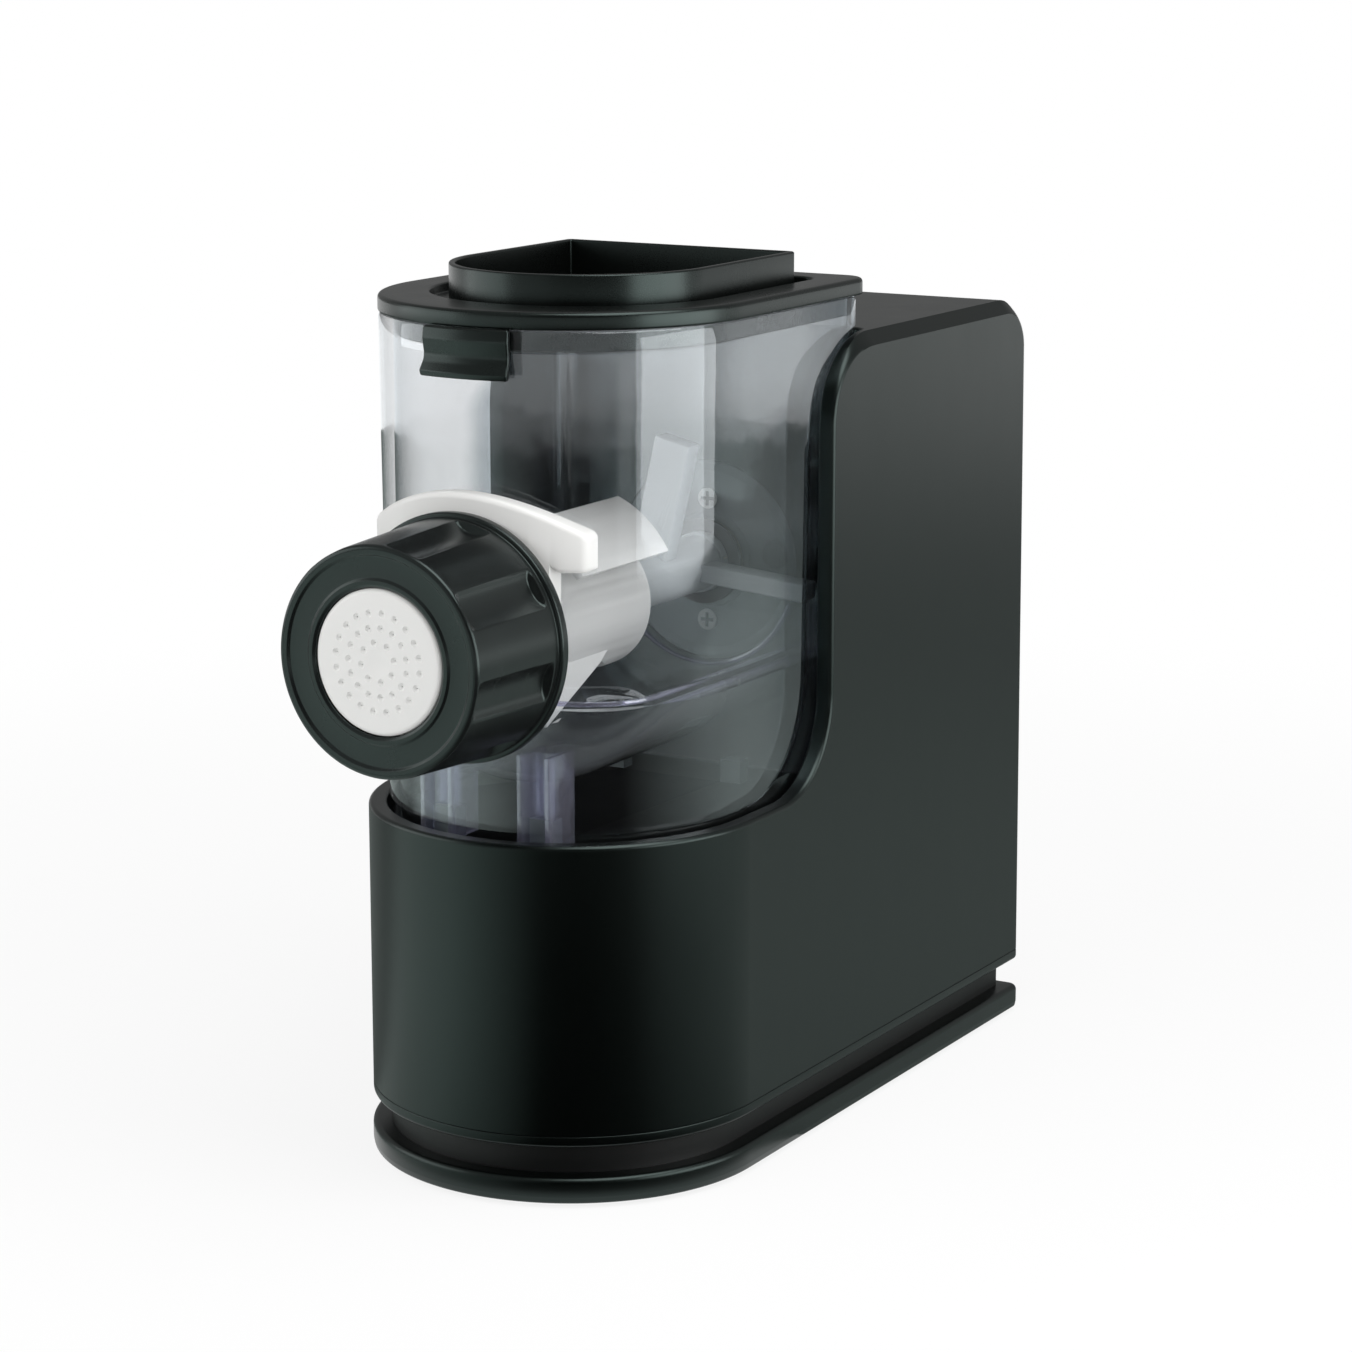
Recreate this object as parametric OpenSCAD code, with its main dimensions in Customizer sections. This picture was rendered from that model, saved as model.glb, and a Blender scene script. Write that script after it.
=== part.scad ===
// Electric pasta maker: a D-shaped housing with a motor tower, a clear mixing bowl
// between two cheeks, an extruder barrel with a screw cap at the front, and a lid.
// +Z is up and the extruder points along -Y. The origin is the middle of the footprint.

/* [Housing] */
// Width of the housing, and the diameter of its round front
body_w = 140; // [138:0.5:142]
// From the middle of the round front to the back
body_back = 217; // [214:0.5:220]
// Height of the tower
body_h = 279; // [277:0.5:281]
// Height of the rim in front of the bowl
rim_h = 124; // [122:0.5:125]
// Wall thickness of the housing
wall = 3; // [2.6:0.1:3.2]
// Thickness of the rim and of the two cheeks beside the bowl
cheek_t = 6.4; // [6.2:0.1:6.6]
// From the middle of the round front to the front edge of the cheeks
cheek_front = 57; // [56:0.5:58]
// From the middle of the round front to the tower face behind the bowl
tower_face = 93.5; // [93:0.5:94]
// Rounding of the top front corner of each cheek
cheek_top_r = 31; // [28:1:33]
// Rounding where each cheek runs down into the rim
cheek_foot_r = 33; // [30:1:35]
// Rounding of the top back corner
back_top_r = 18; // [15:1:20]
// Bevel along the top edges
top_bevel = 4.5; // [3:0.5:5]

/* [Foot] */
// Height of the rubber feet under the plate
foot_gap = 1.5; // [1.2:0.1:1.8]
// Thickness of the foot plate
plate_t = 9; // [8:0.5:9.5]
// Height of the underside of the housing
body_bottom = 21; // [20:0.5:22]
// Depth of the groove between the plate and the housing
neck_inset = 6.3; // [5:0.1:7]

/* [Bowl] */
// Gap between the bowl and the cheeks
bowl_gap = 0.8; // [0.7:0.1:1.2]
// How far the wide front of the bowl stands out above the rim
bowl_proud = 1.6; // [1.2:0.1:1.8]
// Wall thickness of the bowl
bowl_wall = 2.5; // [2.2:0.1:2.8]
// How far the bowl reaches above the tower
bowl_rise = 12; // [11:0.5:13]
// How far the shoulder of the trough lies under the drive axis
shoulder_drop = 21.7; // [20:0.1:23]
// Gap between the wide front of the bowl and the front edge of the cheeks
window_gap = 8; // [7:0.5:9]
// How far the bowl sits behind the middle of the round front
bowl_set = 2; // [1.5:0.1:2.5]

/* [Lid] */
// How far the lid stands out round the bowl
lid_lip = 0.9; // [0.6:0.1:1.4]
// Thickness of the lid
lid_t = 5.8; // [5.4:0.1:6]
// Radius of the filling funnel
funnel_r = 46; // [44:0.5:47]
// How far the funnel rises above the lid
funnel_rise = 9.3; // [8:0.1:11]

/* [Extruder] */
// Height of the drive axis
axis_z = 191.7; // [191:0.1:192.5]
// How far the face of the cap nut stands out in front of the housing
nose_out = 46.5; // [45:0.5:48]
// Radius of the cap nut at its face
nut_r = 37.5; // [37:0.1:38]
// Radius of the flange of the cap nut
nut_flange_r = 41.3; // [41:0.1:41.5]
// Length of the cap nut
nut_len = 47.9; // [47.5:0.1:48.1]
// Radius of the opening that shows the die
die_show_r = 23.9; // [23:0.1:24.5]
// Outer radius of the barrel inside the bowl
barrel_r = 24; // [23.5:0.1:24.2]
// Inner radius of the barrel
bore_r = 19.2; // [18.5:0.1:19.5]
// How far the barrel reaches behind the middle of the round front
barrel_tail = 12; // [8:1:14]
// Radius of one extruding hole of the die
die_hole_r = 0.9; // [0.7:0.1:1]

/* [Mixing rotor] */
// Radius of the mixing shaft
mix_shaft_r = 10; // [8:0.5:11]
// Length of a paddle arm from the axis
paddle_reach = 51; // [45:0.5:51]
// Radius of the auger
auger_r = 18.8; // [18:0.1:18.8]
// Advance of the auger in one turn
auger_pitch = 26; // [22:1:30]
// Thickness of the screw flight along the axis
auger_t = 3.6; // [2.4:0.2:4.4]

/* [Drive] */
// Gear module
gear_m = 2; // [2:1:2]
// Teeth of the output gear
teeth_out = 38; // [38:1:38]
// Teeth of the small idler gear
teeth_idle_small = 12; // [12:1:12]
// Teeth of the large idler gear
teeth_idle_big = 30; // [30:1:30]
// Teeth of the motor pinion
teeth_pinion = 10; // [10:1:10]
// Radius of the motor
motor_r = 31; // [29:1:32]
// Running clearance of a shaft in its bush
run_fit = 0.05; // [0.03:0.01:0.1]

/* [Hidden] */
$fn = 72;
eps = 0.01;
half_w = body_w / 2;
nose_reach = half_w + nose_out;
// Middle of the round front, placed so that the whole length is centred on the origin
mid_y = (nose_reach - body_back) / 2;
back_y = mid_y + body_back;
cheek_y = mid_y + cheek_front;
face_y = mid_y + tower_face;
ring_r = half_w - cheek_t;
corner_r = 4;
plate_r = half_w + 0.3;
neck_corner = 1.5;
plate_top = foot_gap + plate_t;
neck_r = half_w - neck_inset;
trim_top = body_bottom + 3.9;
shell_bottom = trim_top + 0.2;
deck_z = rim_h - 10;
deck_t = 3;
deck_top = deck_z + deck_t;
deck_r = ring_r - 0.3;
// posts under the front of the bowl
post_x = 19;
post_h = 12;
recess_corner = 9;
inner_corner = 3.3;
// an arc dips this far into the faces that it blends, so that it meets them at an angle
blend = 0.05;

bowl_tail = ring_r - bowl_gap;
bowl_r = bowl_tail + bowl_proud;
bowl_top = body_h + bowl_rise;
shoulder_z = axis_z - shoulder_drop;
bowl_y = mid_y + bowl_set;
bowl_back = face_y - 0.6;
bowl_foot = deck_top + 0.2;
bowl_corner = 9.6;
bowl_in = bowl_tail - bowl_wall;
trough_r = bowl_in - 7.3;
trough_front = bowl_y - trough_r + 1;
window_back = cheek_y - window_gap;
window_foot = rim_h + 2;
window_corner = 40;
// the wide front runs back over the cheeks with this gap
crown_gap = 2.5;
wall_front = bowl_y - bowl_r;
catch_r = bowl_r + 1.4;

nut_face = mid_y - nose_reach;
nut_back = nut_face + nut_len;
nut_bore_r = 27.4;
thread_r = 27;
barrel_front = nut_face + 11;
barrel_back = mid_y + barrel_tail;
die_back = barrel_front - 0.3;
hood_r = 39.2;
hood_t = 2.2;

lid_z = bowl_top + 0.4;
lid_top = lid_z + lid_t;
lid_r = bowl_r + lid_lip;
lid_back = face_y + 0.4;
funnel_top = lid_top + funnel_rise;
funnel_y = mid_y + 10;
funnel_back = face_y - 19.6;
plug_r = bowl_in - 0.5;
plug_back = bowl_back - bowl_wall - 1.2;
plug_depth = 7.6;
plug_wall = 2.5;
hinge_y = face_y + 5;
hinge_z = bowl_top - 3;
ear_x = 22;
pin_r = 2;
latch_w = 32.8;
latch_low = lid_z - 16;
latch_pin_r = 1.2;
latch_pin_z = lid_z + 2.6;
latch_pin_y = bowl_y - lid_r + 4.7;

gear_plate_y = face_y + 11;
rear_plate_y = face_y + 43;
plate_thick = 3;
gap_mesh = 0.25;
idle_z = axis_z - gear_m * (teeth_out + teeth_idle_small) / 2 - gap_mesh;
motor_z = idle_z - gear_m * (teeth_idle_big + teeth_pinion) / 2 - gap_mesh;
out_gear_y = gear_plate_y + plate_thick + 3;
out_gear_t = 10;
big_gear_y = out_gear_y + out_gear_t + 2.5;
big_gear_t = 8;
motor_y = rear_plate_y + plate_thick;
motor_len = 60;
motor_screw_x = 16;
shaft_r = 6;
idle_r = 4;
arbor_r = 3;
fan_y = motor_y + motor_len + 2;
board_x = -half_w + wall + 7;
board_y = back_y - 71;
board_z = 150;
knob_y = back_y - 57;
knob_z = body_h - 43;
knob_r = 17;
dish_r = 21;
dish_depth = 9;
cover_w = body_w - 36;
cover_z = 30;
cover_h = body_h - 69;

// A plan with a round front and a straight back, its back corners rounded
module d_plan(r, cy, back, corner) {
    translate([0, cy]) circle(r = r, $fn = 120);
    translate([-r, cy]) square([2 * r, back - corner - cy]);
    translate([corner - r, cy]) square([2 * (r - corner), back - cy]);
    for (side = [-1, 1]) translate([side * (r - corner), back - corner]) circle(r = corner);
}

module d_block(r, cy, back, corner, z0, z1) {
    translate([0, 0, z0]) linear_extrude(height = z1 - z0) d_plan(r, cy, back, corner);
}

// Extrudes a drawing of (y, z) points across the width w
module across(w) {
    translate([-w / 2, 0, 0]) rotate([90, 0, 90]) linear_extrude(height = w) children();
}

// A round bar along Y on the drive axis, or at another place (x, z)
module y_bar(r, y0, y1, x = 0, z = axis_z) {
    translate([x, y0, z]) rotate([-90, 0, 0]) cylinder(r = r, h = y1 - y0);
}

// A round bar along X centred on the middle plane
module x_bar(r, w, y, z) {
    translate([-w / 2, y, z]) rotate([0, 90, 0]) cylinder(r = r, h = w);
}

// Extrudes a drawing of (x, z) points from y0 to y1
module along_y(y0, y1) {
    translate([0, y1, 0]) rotate([90, 0, 0]) linear_extrude(height = y1 - y0) children();
}

// Side view of the housing, drawn inwards by t
module side_view(t) {
    front = mid_y - half_w + t;
    base_top = rim_h - t;
    top = body_h - t;
    rear = back_y - t;
    tower = cheek_y + t;
    top_r = cheek_top_r - t;
    rear_r = back_top_r - t;
    foot = cheek_foot_r + t;
    translate([front, shell_bottom - 30]) square([rear - front, base_top - shell_bottom + 30]);
    translate([tower, shell_bottom - 30]) square([rear - tower, top - top_r - shell_bottom + 30]);
    translate([tower + top_r, shell_bottom]) square([rear - tower - top_r, top - rear_r - shell_bottom]);
    translate([tower + top_r, shell_bottom]) square([rear - rear_r - tower - top_r, top - shell_bottom]);
    translate([tower + top_r, top - top_r]) circle(r = top_r);
    translate([rear - rear_r, top - rear_r]) circle(r = rear_r);
    difference() {
        translate([tower - foot, base_top - 1]) square([foot + 1, foot + 1]);
        translate([tower - foot + blend, base_top + foot - blend]) circle(r = foot);
    }
}

module housing_outside() {
    intersection() {
        across(body_w + 2) side_view(0);
        d_block(half_w, mid_y, back_y, corner_r, shell_bottom, body_h + 1);
    }
}

module top_bevels() {
    for (side = [-1, 1]) {
        along_y(cheek_y - 1, back_y + 1)
            polygon([
                [side * (half_w - top_bevel), body_h],
                [side * (half_w - top_bevel), body_h + 2],
                [side * (half_w + 2), body_h + 2],
                [side * (half_w + 2), body_h - top_bevel],
                [side * half_w, body_h - top_bevel]
            ]);
    }
}

module foot_plate() {
    color("#26292a") difference() {
        union() {
            d_block(plate_r, mid_y, back_y, corner_r, foot_gap + 0.8, plate_top);
            d_block(plate_r - 0.8, mid_y, back_y - 0.8, corner_r, foot_gap, foot_gap + 0.9);
        }
        for (p = foot_places()) translate([p[0], p[1], foot_gap - 1]) cylinder(r = 9.1, h = 3);
        for (p = screw_places()) {
            translate([p[0], p[1], foot_gap - 1]) cylinder(r = 4, h = 5);
            translate([p[0], p[1], foot_gap - 1]) cylinder(r = 2, h = plate_t + 2);
        }
    }
}

function foot_places() = [
    for (side = [-1, 1]) for (y = [mid_y - 22, back_y - 32]) [side * (half_w - 24), y]
];
function screw_places() = [
    for (side = [-1, 1]) for (y = [mid_y + 6, back_y - 57]) [side * (half_w - 30), y]
];

module rubber_feet() {
    color("#161616") for (p = foot_places()) translate([p[0], p[1], 0]) cylinder(r = 9, h = foot_gap + 2);
}

module foot_screws() {
    color("silver") for (p = screw_places()) translate([p[0], p[1], 0]) {
        translate([0, 0, foot_gap + 1.6]) cylinder(r = 3.7, h = 2.4);
        translate([0, 0, foot_gap + 3.9]) cylinder(r = 1.9, h = 16);
    }
}

module base_pan() {
    color("#26292a") difference() {
        union() {
            d_block(neck_r, mid_y, back_y - neck_inset, neck_corner, plate_top, body_bottom + 1);
            d_block(half_w - wall - 0.3, mid_y, back_y - wall - 0.3, inner_corner,
                body_bottom, body_bottom + 3);
        }
        difference() {
            d_block(neck_r - 3, mid_y, back_y - neck_inset - 3, neck_corner,
                plate_top - 1, body_bottom - 1);
            for (p = screw_places()) translate([p[0], p[1], plate_top - 2]) cylinder(r = 5, h = 20);
        }
        for (p = screw_places()) translate([p[0], p[1], plate_top - 1]) cylinder(r = 1.9, h = 12);
        y_bar(5, back_y - 20, back_y, z = (plate_top + body_bottom) / 2);
    }
}

module base_trim() {
    color("#202324") difference() {
        d_block(half_w, mid_y, back_y, corner_r, body_bottom, trim_top);
        d_block(half_w - wall, mid_y, back_y - wall, inner_corner, body_bottom - 1, trim_top + 1);
    }
}

module main_housing() {
    color("#2b2f2f") difference() {
        housing_outside();
        top_bevels();
        // hollow below the deck
        d_block(half_w - wall, mid_y, back_y - wall, inner_corner, shell_bottom - 1, deck_z - 4);
        d_block(ring_r - 4, mid_y, face_y - 4, 6, deck_z - 5, deck_z + 1);
        // hollow of the tower
        intersection() {
            across(body_w - 2 * wall) side_view(wall);
            d_block(half_w - wall, mid_y, back_y - wall, inner_corner, deck_z - 5, body_h);
            translate([-half_w, face_y + wall, deck_z - 5]) cube([body_w, body_back, body_h]);
        }
        // well that takes the bowl
        d_block(ring_r, mid_y, face_y, recess_corner, deck_z, body_h + 1);
        // drive cover seat and bore
        y_bar(36.4, face_y - 1, face_y + 1.5);
        y_bar(20, face_y - 1, face_y + wall + 1);
        for (side = [-1, 1]) y_bar(1.6, face_y, face_y + wall + 1, z = axis_z + side * 22.2);
        // opening for the rear cover
        translate([-cover_w / 2, back_y - wall - 1, cover_z]) cube([cover_w, wall + 2, cover_h]);
        // dish for the selector knob
        translate([-half_w - 1, knob_y, knob_z]) rotate([0, 90, 0]) cylinder(r = dish_r, h = wall + 2);
    }
    color("#2b2f2f") selector_dish();
    color("#2b2f2f") cover_lugs();
}

// Round dish let into the left side, with a bore for the knob stem
module selector_dish() {
    difference() {
        translate([-half_w + 0.6, knob_y, knob_z])
            rotate([0, 90, 0]) cylinder(r = dish_r + 2, h = dish_depth + 1.4);
        translate([-half_w - 1, knob_y, knob_z])
            rotate([0, 90, 0]) cylinder(r = dish_r, h = dish_depth + 1);
        translate([-half_w - 1, knob_y, knob_z]) rotate([0, 90, 0]) cylinder(r = 4 + run_fit, h = 20);
    }
}

// Screw lugs behind the four corners of the rear cover
module cover_lugs() {
    for (side = [-1, 1]) for (z = cover_screw_z()) difference() {
        union() {
            translate([side * cover_w / 2 - 8, back_y - wall - 6, z - 7]) cube([16, 6, 14]);
            translate([side * (cover_w / 2 + 4.1) - 4, back_y - wall - 6, z - 7]) cube([8, 7, 14]);
        }
        y_bar(1.6, back_y - 12, back_y - wall + 0.1, x = side * (cover_w / 2 - 4), z = z);
    }
}

function cover_screw_z() = [cover_z + 8, cover_z + cover_h - 8];

module rear_cover() {
    slots = 9;
    color("#26292a") difference() {
        translate([-cover_w / 2 + 0.3, back_y - wall + 0.2, cover_z + 0.3])
            cube([cover_w - 0.6, wall - 0.2, cover_h - 0.6]);
        for (i = [0 : slots - 1])
            translate([-34, back_y - wall - 1, motor_z - 28 + 7 * i]) cube([68, wall + 2, 3]);
        for (side = [-1, 1]) for (z = cover_screw_z()) {
            y_bar(1.8, back_y - wall - 1, back_y + 1, x = side * (cover_w / 2 - 4), z = z);
            y_bar(3.4, back_y - 1.6, back_y + 1, x = side * (cover_w / 2 - 4), z = z);
        }
    }
}

module rear_screws() {
    color("silver") for (side = [-1, 1]) for (z = cover_screw_z()) {
        y_bar(3.1, back_y - 1.6, back_y - 0.2, x = side * (cover_w / 2 - 4), z = z);
        y_bar(1.55, back_y - 9, back_y - 1.5, x = side * (cover_w / 2 - 4), z = z);
    }
}

module cord_bush() {
    z = (plate_top + body_bottom) / 2;
    inner = back_y - neck_inset - 3;
    color("#161616") difference() {
        union() {
            y_bar(4.9, inner - 1, back_y - neck_inset + 4, z = z);
            y_bar(4.3, inner - 1, back_y - 1, z = z);
        }
        y_bar(3.2, inner - 2, back_y, z = z);
    }
}

// Floor of the well, with posts that place the bowl
module well_deck() {
    color("#1f2223") {
        d_block(deck_r, mid_y, face_y - 0.3, recess_corner - 0.3, deck_z, deck_top);
        for (side = [-1, 1]) translate([side * post_x - 4.5, bowl_y - 53, deck_top - 1])
            cube([9, 6, post_h + 1]);
        for (side = [-1, 1]) translate([side * 24 - 4, face_y - 26, deck_top - 1]) cube([8, 6, 9]);
    }
}

module drive_cover() {
    color("#8b9194") difference() {
        y_bar(36, face_y + 0.1, face_y + 1.5);
        y_bar(14.2, face_y - 1, face_y + 3);
        for (side = [-1, 1]) y_bar(1.9, face_y - 1, face_y + 3, z = axis_z + side * 22.2);
    }
}

module cover_screws() {
    color("silver") for (side = [-1, 1]) difference() {
        z = axis_z + side * 22.2;
        union() {
            y_bar(3.8, face_y - 0.4, face_y + 0.1, z = z);
            y_bar(1.5, face_y, face_y + 8, z = z);
        }
        for (turn = [0, 90]) translate([0, face_y - 0.5, z])
            rotate([0, turn, 0]) cube([3.6, 0.7, 0.8], center = true);
    }
}

// A spur gear along Y with trapezoid teeth; turn shifts it in parts of a tooth
module gear(teeth, bore, y0, t, z, turn = 0) {
    pitch_r = gear_m * teeth / 2;
    root_r = pitch_r - gear_m * 1.05;
    tip_r = pitch_r + gear_m * 0.8;
    step = 360 / teeth;
    translate([0, y0 + t, z]) rotate([90, 0, 0]) linear_extrude(height = t) difference() {
        union() {
            circle(r = root_r);
            for (i = [0 : teeth - 1]) rotate((i + turn) * step) polygon([
                [root_r - 0.6, -step * root_r * PI / 180 * 0.29],
                [tip_r, -step * tip_r * PI / 180 * 0.12],
                [tip_r, step * tip_r * PI / 180 * 0.12],
                [root_r - 0.6, step * root_r * PI / 180 * 0.29]
            ]);
        }
        circle(r = bore);
    }
}

// Plate that stands on the base pan and carries one end of every shaft
module gear_plate_shape(y0) {
    foot = body_bottom + 3;
    difference() {
        translate([-52, y0, foot]) cube([104, plate_thick, axis_z + 34 - foot]);
        translate([-36, y0 - 1, foot + 10]) cube([72, plate_thick + 2, 28]);
        y_bar(9, y0 - 1, y0 + plate_thick + 1);
        y_bar(7, y0 - 1, y0 + plate_thick + 1, z = idle_z);
        y_bar(7, y0 - 1, y0 + plate_thick + 1, z = motor_z);
        for (p = pillar_places()) y_bar(1.9, y0 - 1, y0 + plate_thick + 1, x = p[0], z = p[1]);
    }
}

function pillar_places() = [
    for (side = [-1, 1]) for (z = [deck_z + 8, axis_z + 26]) [side * 45, z]
];

module front_gear_plate() {
    color("#b4b7b9") gear_plate_shape(gear_plate_y);
}

module rear_gear_plate() {
    color("#b4b7b9") difference() {
        gear_plate_shape(rear_plate_y);
        for (side = [-1, 1])
            y_bar(1.6, rear_plate_y - 1, motor_y + 1, x = side * motor_screw_x, z = motor_z);
    }
}

module bush(outer, inner, y0, z) {
    difference() {
        y_bar(outer, y0 - 1, y0 + plate_thick + 1, z = z);
        y_bar(inner + run_fit, y0 - 2, y0 + plate_thick + 2, z = z);
    }
}

module gear_bushes() {
    color("#b08d57") for (y0 = [gear_plate_y, rear_plate_y]) {
        bush(9, shaft_r, y0, axis_z);
        bush(7, idle_r, y0, idle_z);
        bush(7, arbor_r, y0, motor_z);
    }
}

module plate_pillars() {
    color("silver") for (p = pillar_places()) {
        y_bar(4, face_y + wall, gear_plate_y, x = p[0], z = p[1]);
        y_bar(4, gear_plate_y + plate_thick, rear_plate_y, x = p[0], z = p[1]);
        y_bar(1.8, gear_plate_y - 1, rear_plate_y + plate_thick + 2, x = p[0], z = p[1]);
        y_bar(3.5, rear_plate_y + plate_thick, rear_plate_y + plate_thick + 2.5, x = p[0], z = p[1]);
    }
}

module motor_case() {
    color("#9aa0a3") difference() {
        y_bar(motor_r, motor_y, motor_y + motor_len, z = motor_z);
        y_bar(motor_r - 2, motor_y + 2, motor_y + motor_len - 2, z = motor_z);
        y_bar(9, motor_y - 1, motor_y + motor_len + 1, z = motor_z);
        for (side = [-1, 1]) y_bar(1.5, motor_y - 1, motor_y + 3, x = side * motor_screw_x, z = motor_z);
        for (i = [0 : 5]) translate([0, motor_y + motor_len + 1, motor_z]) rotate([0, 60 * i, 0])
            translate([20, 0, 0]) rotate([90, 0, 0]) cylinder(r = 4, h = 6);
    }
}

module motor_screws() {
    color("silver") for (side = [-1, 1]) {
        y_bar(1.5, rear_plate_y - 1, motor_y + 6, x = side * motor_screw_x, z = motor_z);
        y_bar(3, rear_plate_y - 2, rear_plate_y, x = side * motor_screw_x, z = motor_z);
    }
}

module motor_stator() {
    color("#7a5c3a") difference() {
        y_bar(motor_r - 2, motor_y + 12, motor_y + 46, z = motor_z);
        y_bar(20.6, motor_y + 11, motor_y + 47, z = motor_z);
    }
}

module motor_armature() {
    color("#6b4a2c") difference() {
        union() {
            y_bar(20, motor_y + 12, motor_y + 44, z = motor_z);
            y_bar(9.5, motor_y + 46, motor_y + 54, z = motor_z);
            y_bar(7, motor_y + 43, motor_y + 47, z = motor_z);
        }
        y_bar(arbor_r, motor_y, motor_y + 60, z = motor_z);
    }
}

module motor_arbor() {
    color("silver") y_bar(arbor_r, gear_plate_y - 2, fan_y + 8, z = motor_z);
}

module motor_pinion() {
    color("#c9ccce") gear(teeth_pinion, arbor_r, big_gear_y - 0.5, big_gear_t + 1, motor_z, 0.5);
}

module motor_fan() {
    blades = 9;
    color("#e6e6e0") difference() {
        union() {
            y_bar(8, fan_y, fan_y + 7, z = motor_z);
            y_bar(26, fan_y + 5.8, fan_y + 7, z = motor_z);
            for (i = [0 : blades - 1]) translate([0, fan_y, motor_z]) rotate([0, 360 / blades * i, 0])
                translate([7, 0, -0.6]) cube([18, 6, 1.2]);
        }
        y_bar(arbor_r, fan_y - 1, fan_y + 9, z = motor_z);
    }
}

module idler_arbor() {
    color("silver") y_bar(idle_r, gear_plate_y - 1, rear_plate_y + plate_thick + 1, z = idle_z);
}

module idler_gear() {
    color("#e3e0d3") {
        gear(teeth_idle_small, idle_r, out_gear_y - 0.5, out_gear_t + 3, idle_z);
        gear(teeth_idle_big, idle_r, big_gear_y, big_gear_t, idle_z);
    }
}

module drive_shaft() {
    color("silver") y_bar(shaft_r, face_y - 8, rear_plate_y + plate_thick + 4);
}

module output_gear() {
    color("#e3e0d3") {
        gear(teeth_out, shaft_r, out_gear_y, out_gear_t, axis_z);
        difference() {
            y_bar(13, out_gear_y - 1, out_gear_y + out_gear_t + 6);
            y_bar(shaft_r, out_gear_y - 2, out_gear_y + out_gear_t + 7);
        }
    }
}

// Two-winged dog that the mixing shaft slips over
module drive_dog() {
    color("#d9d9d4") difference() {
        union() {
            y_bar(8, face_y - 7, face_y + 9);
            translate([-10.5, face_y - 7, axis_z - 2.5]) cube([21, 6, 5]);
            y_bar(13.8, face_y + 3, face_y + 9);
        }
        y_bar(shaft_r, face_y - 8, face_y + 10);
    }
}

module mixing_bowl() {
    color("#c9cfe6", 0.45) difference() {
        union() {
            d_block(bowl_tail, bowl_y, bowl_back, bowl_corner, bowl_foot, bowl_top);
            intersection() {
                d_block(bowl_r, bowl_y, bowl_back, bowl_corner, window_foot, bowl_top);
                across(body_w) window_view();
            }
            latch_catch();
            hinge_ears();
        }
        // mixing space down to the shoulder
        d_block(bowl_in, bowl_y, bowl_back - bowl_wall, bowl_corner - bowl_wall, shoulder_z, bowl_top + 1);
        // trough
        intersection() {
            y_bar(trough_r, trough_front, bowl_back - bowl_wall);
            d_block(trough_r, bowl_y, bowl_back - bowl_wall, 1, bowl_foot, shoulder_z + 1);
        }
        // open space under the shoulder, outside the trough
        difference() {
            d_block(bowl_in, bowl_y, bowl_back - bowl_wall, bowl_corner - bowl_wall,
                bowl_foot - 1, shoulder_z - bowl_wall);
            intersection() {
                y_bar(trough_r + bowl_wall, trough_front - bowl_wall - 0.5, bowl_back);
                d_block(trough_r + bowl_wall, bowl_y, bowl_back, 1, bowl_foot, shoulder_z + 1);
            }
            guide_ribs();
        }
        y_bar(barrel_r + 0.3, wall_front - 2, bowl_y - 40);
        y_bar(13, bowl_back - 4, bowl_back + 1);
    }
}

// Side view of the wide clear front of the bowl: its lower back corner is rounded, and at the
// top it runs back over the round front corners of the cheeks
module window_view() {
    r = window_corner;
    front = bowl_y - bowl_r - 1;
    crown_y = cheek_y + cheek_top_r;
    crown_r = crown_y - window_back;
    crown_z = body_h + crown_gap;
    translate([front, window_foot]) square([window_back - r - front, bowl_top - window_foot]);
    translate([front, window_foot + r]) square([window_back - front, bowl_top - window_foot - r]);
    translate([window_back - r, window_foot + r]) circle(r = r, $fn = 96);
    difference() {
        translate([window_back - 1, crown_z - crown_r])
            square([bowl_back - window_back + 1, bowl_top - crown_z + crown_r]);
        translate([crown_y, crown_z - crown_r - blend]) circle(r = crown_r, $fn = 96);
        translate([crown_y, crown_z - crown_r - 1]) square([bowl_back - crown_y + 1, crown_r + 1]);
    }
}

// Clear H-shaped ribs that stand over the posts of the deck
module guide_ribs() {
    depth = 18;
    for (side = [-1, 1]) for (edge = [-1, 1])
        translate([side * post_x + edge * 6.4 - 1, bowl_y - 58, bowl_foot]) cube([2, depth, 40]);
    for (side = [-1, 1])
        translate([side * post_x - 6, bowl_y - 58, deck_top + post_h + 2]) cube([12, depth, 30]);
}

module latch_catch() {
    intersection() {
        d_block(catch_r, bowl_y, bowl_y + 1, 0.2, latch_low + 4.6, latch_low + 6.6);
        translate([-13, wall_front - 4, latch_low + 4]) cube([26, 20, 4]);
    }
}

module hinge_ears() {
    for (side = [-1, 1]) difference() {
        translate([side * ear_x - 4, bowl_back - 1, hinge_z - 4])
            cube([8, hinge_y + 4 - bowl_back + 1, bowl_top - hinge_z + 4]);
        translate([side * ear_x - 5, hinge_y, hinge_z]) rotate([0, 90, 0]) cylinder(r = pin_r, h = 10);
    }
}

module shaft_seal() {
    color("#3a3a3c") difference() {
        union() {
            y_bar(13, bowl_back - bowl_wall, bowl_back);
            y_bar(15.5, bowl_back - bowl_wall - 1.5, bowl_back - bowl_wall);
        }
        y_bar(11, bowl_back - 6, bowl_back + 1);
    }
}

module barrel() {
    color("#e9eae6") difference() {
        union() {
            y_bar(barrel_r, nut_back - 1, barrel_back);
            y_bar(thread_r, barrel_front, nut_back + 0.1);
            hood();
        }
        y_bar(bore_r, barrel_front - 1, barrel_back + 1);
    }
}

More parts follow.
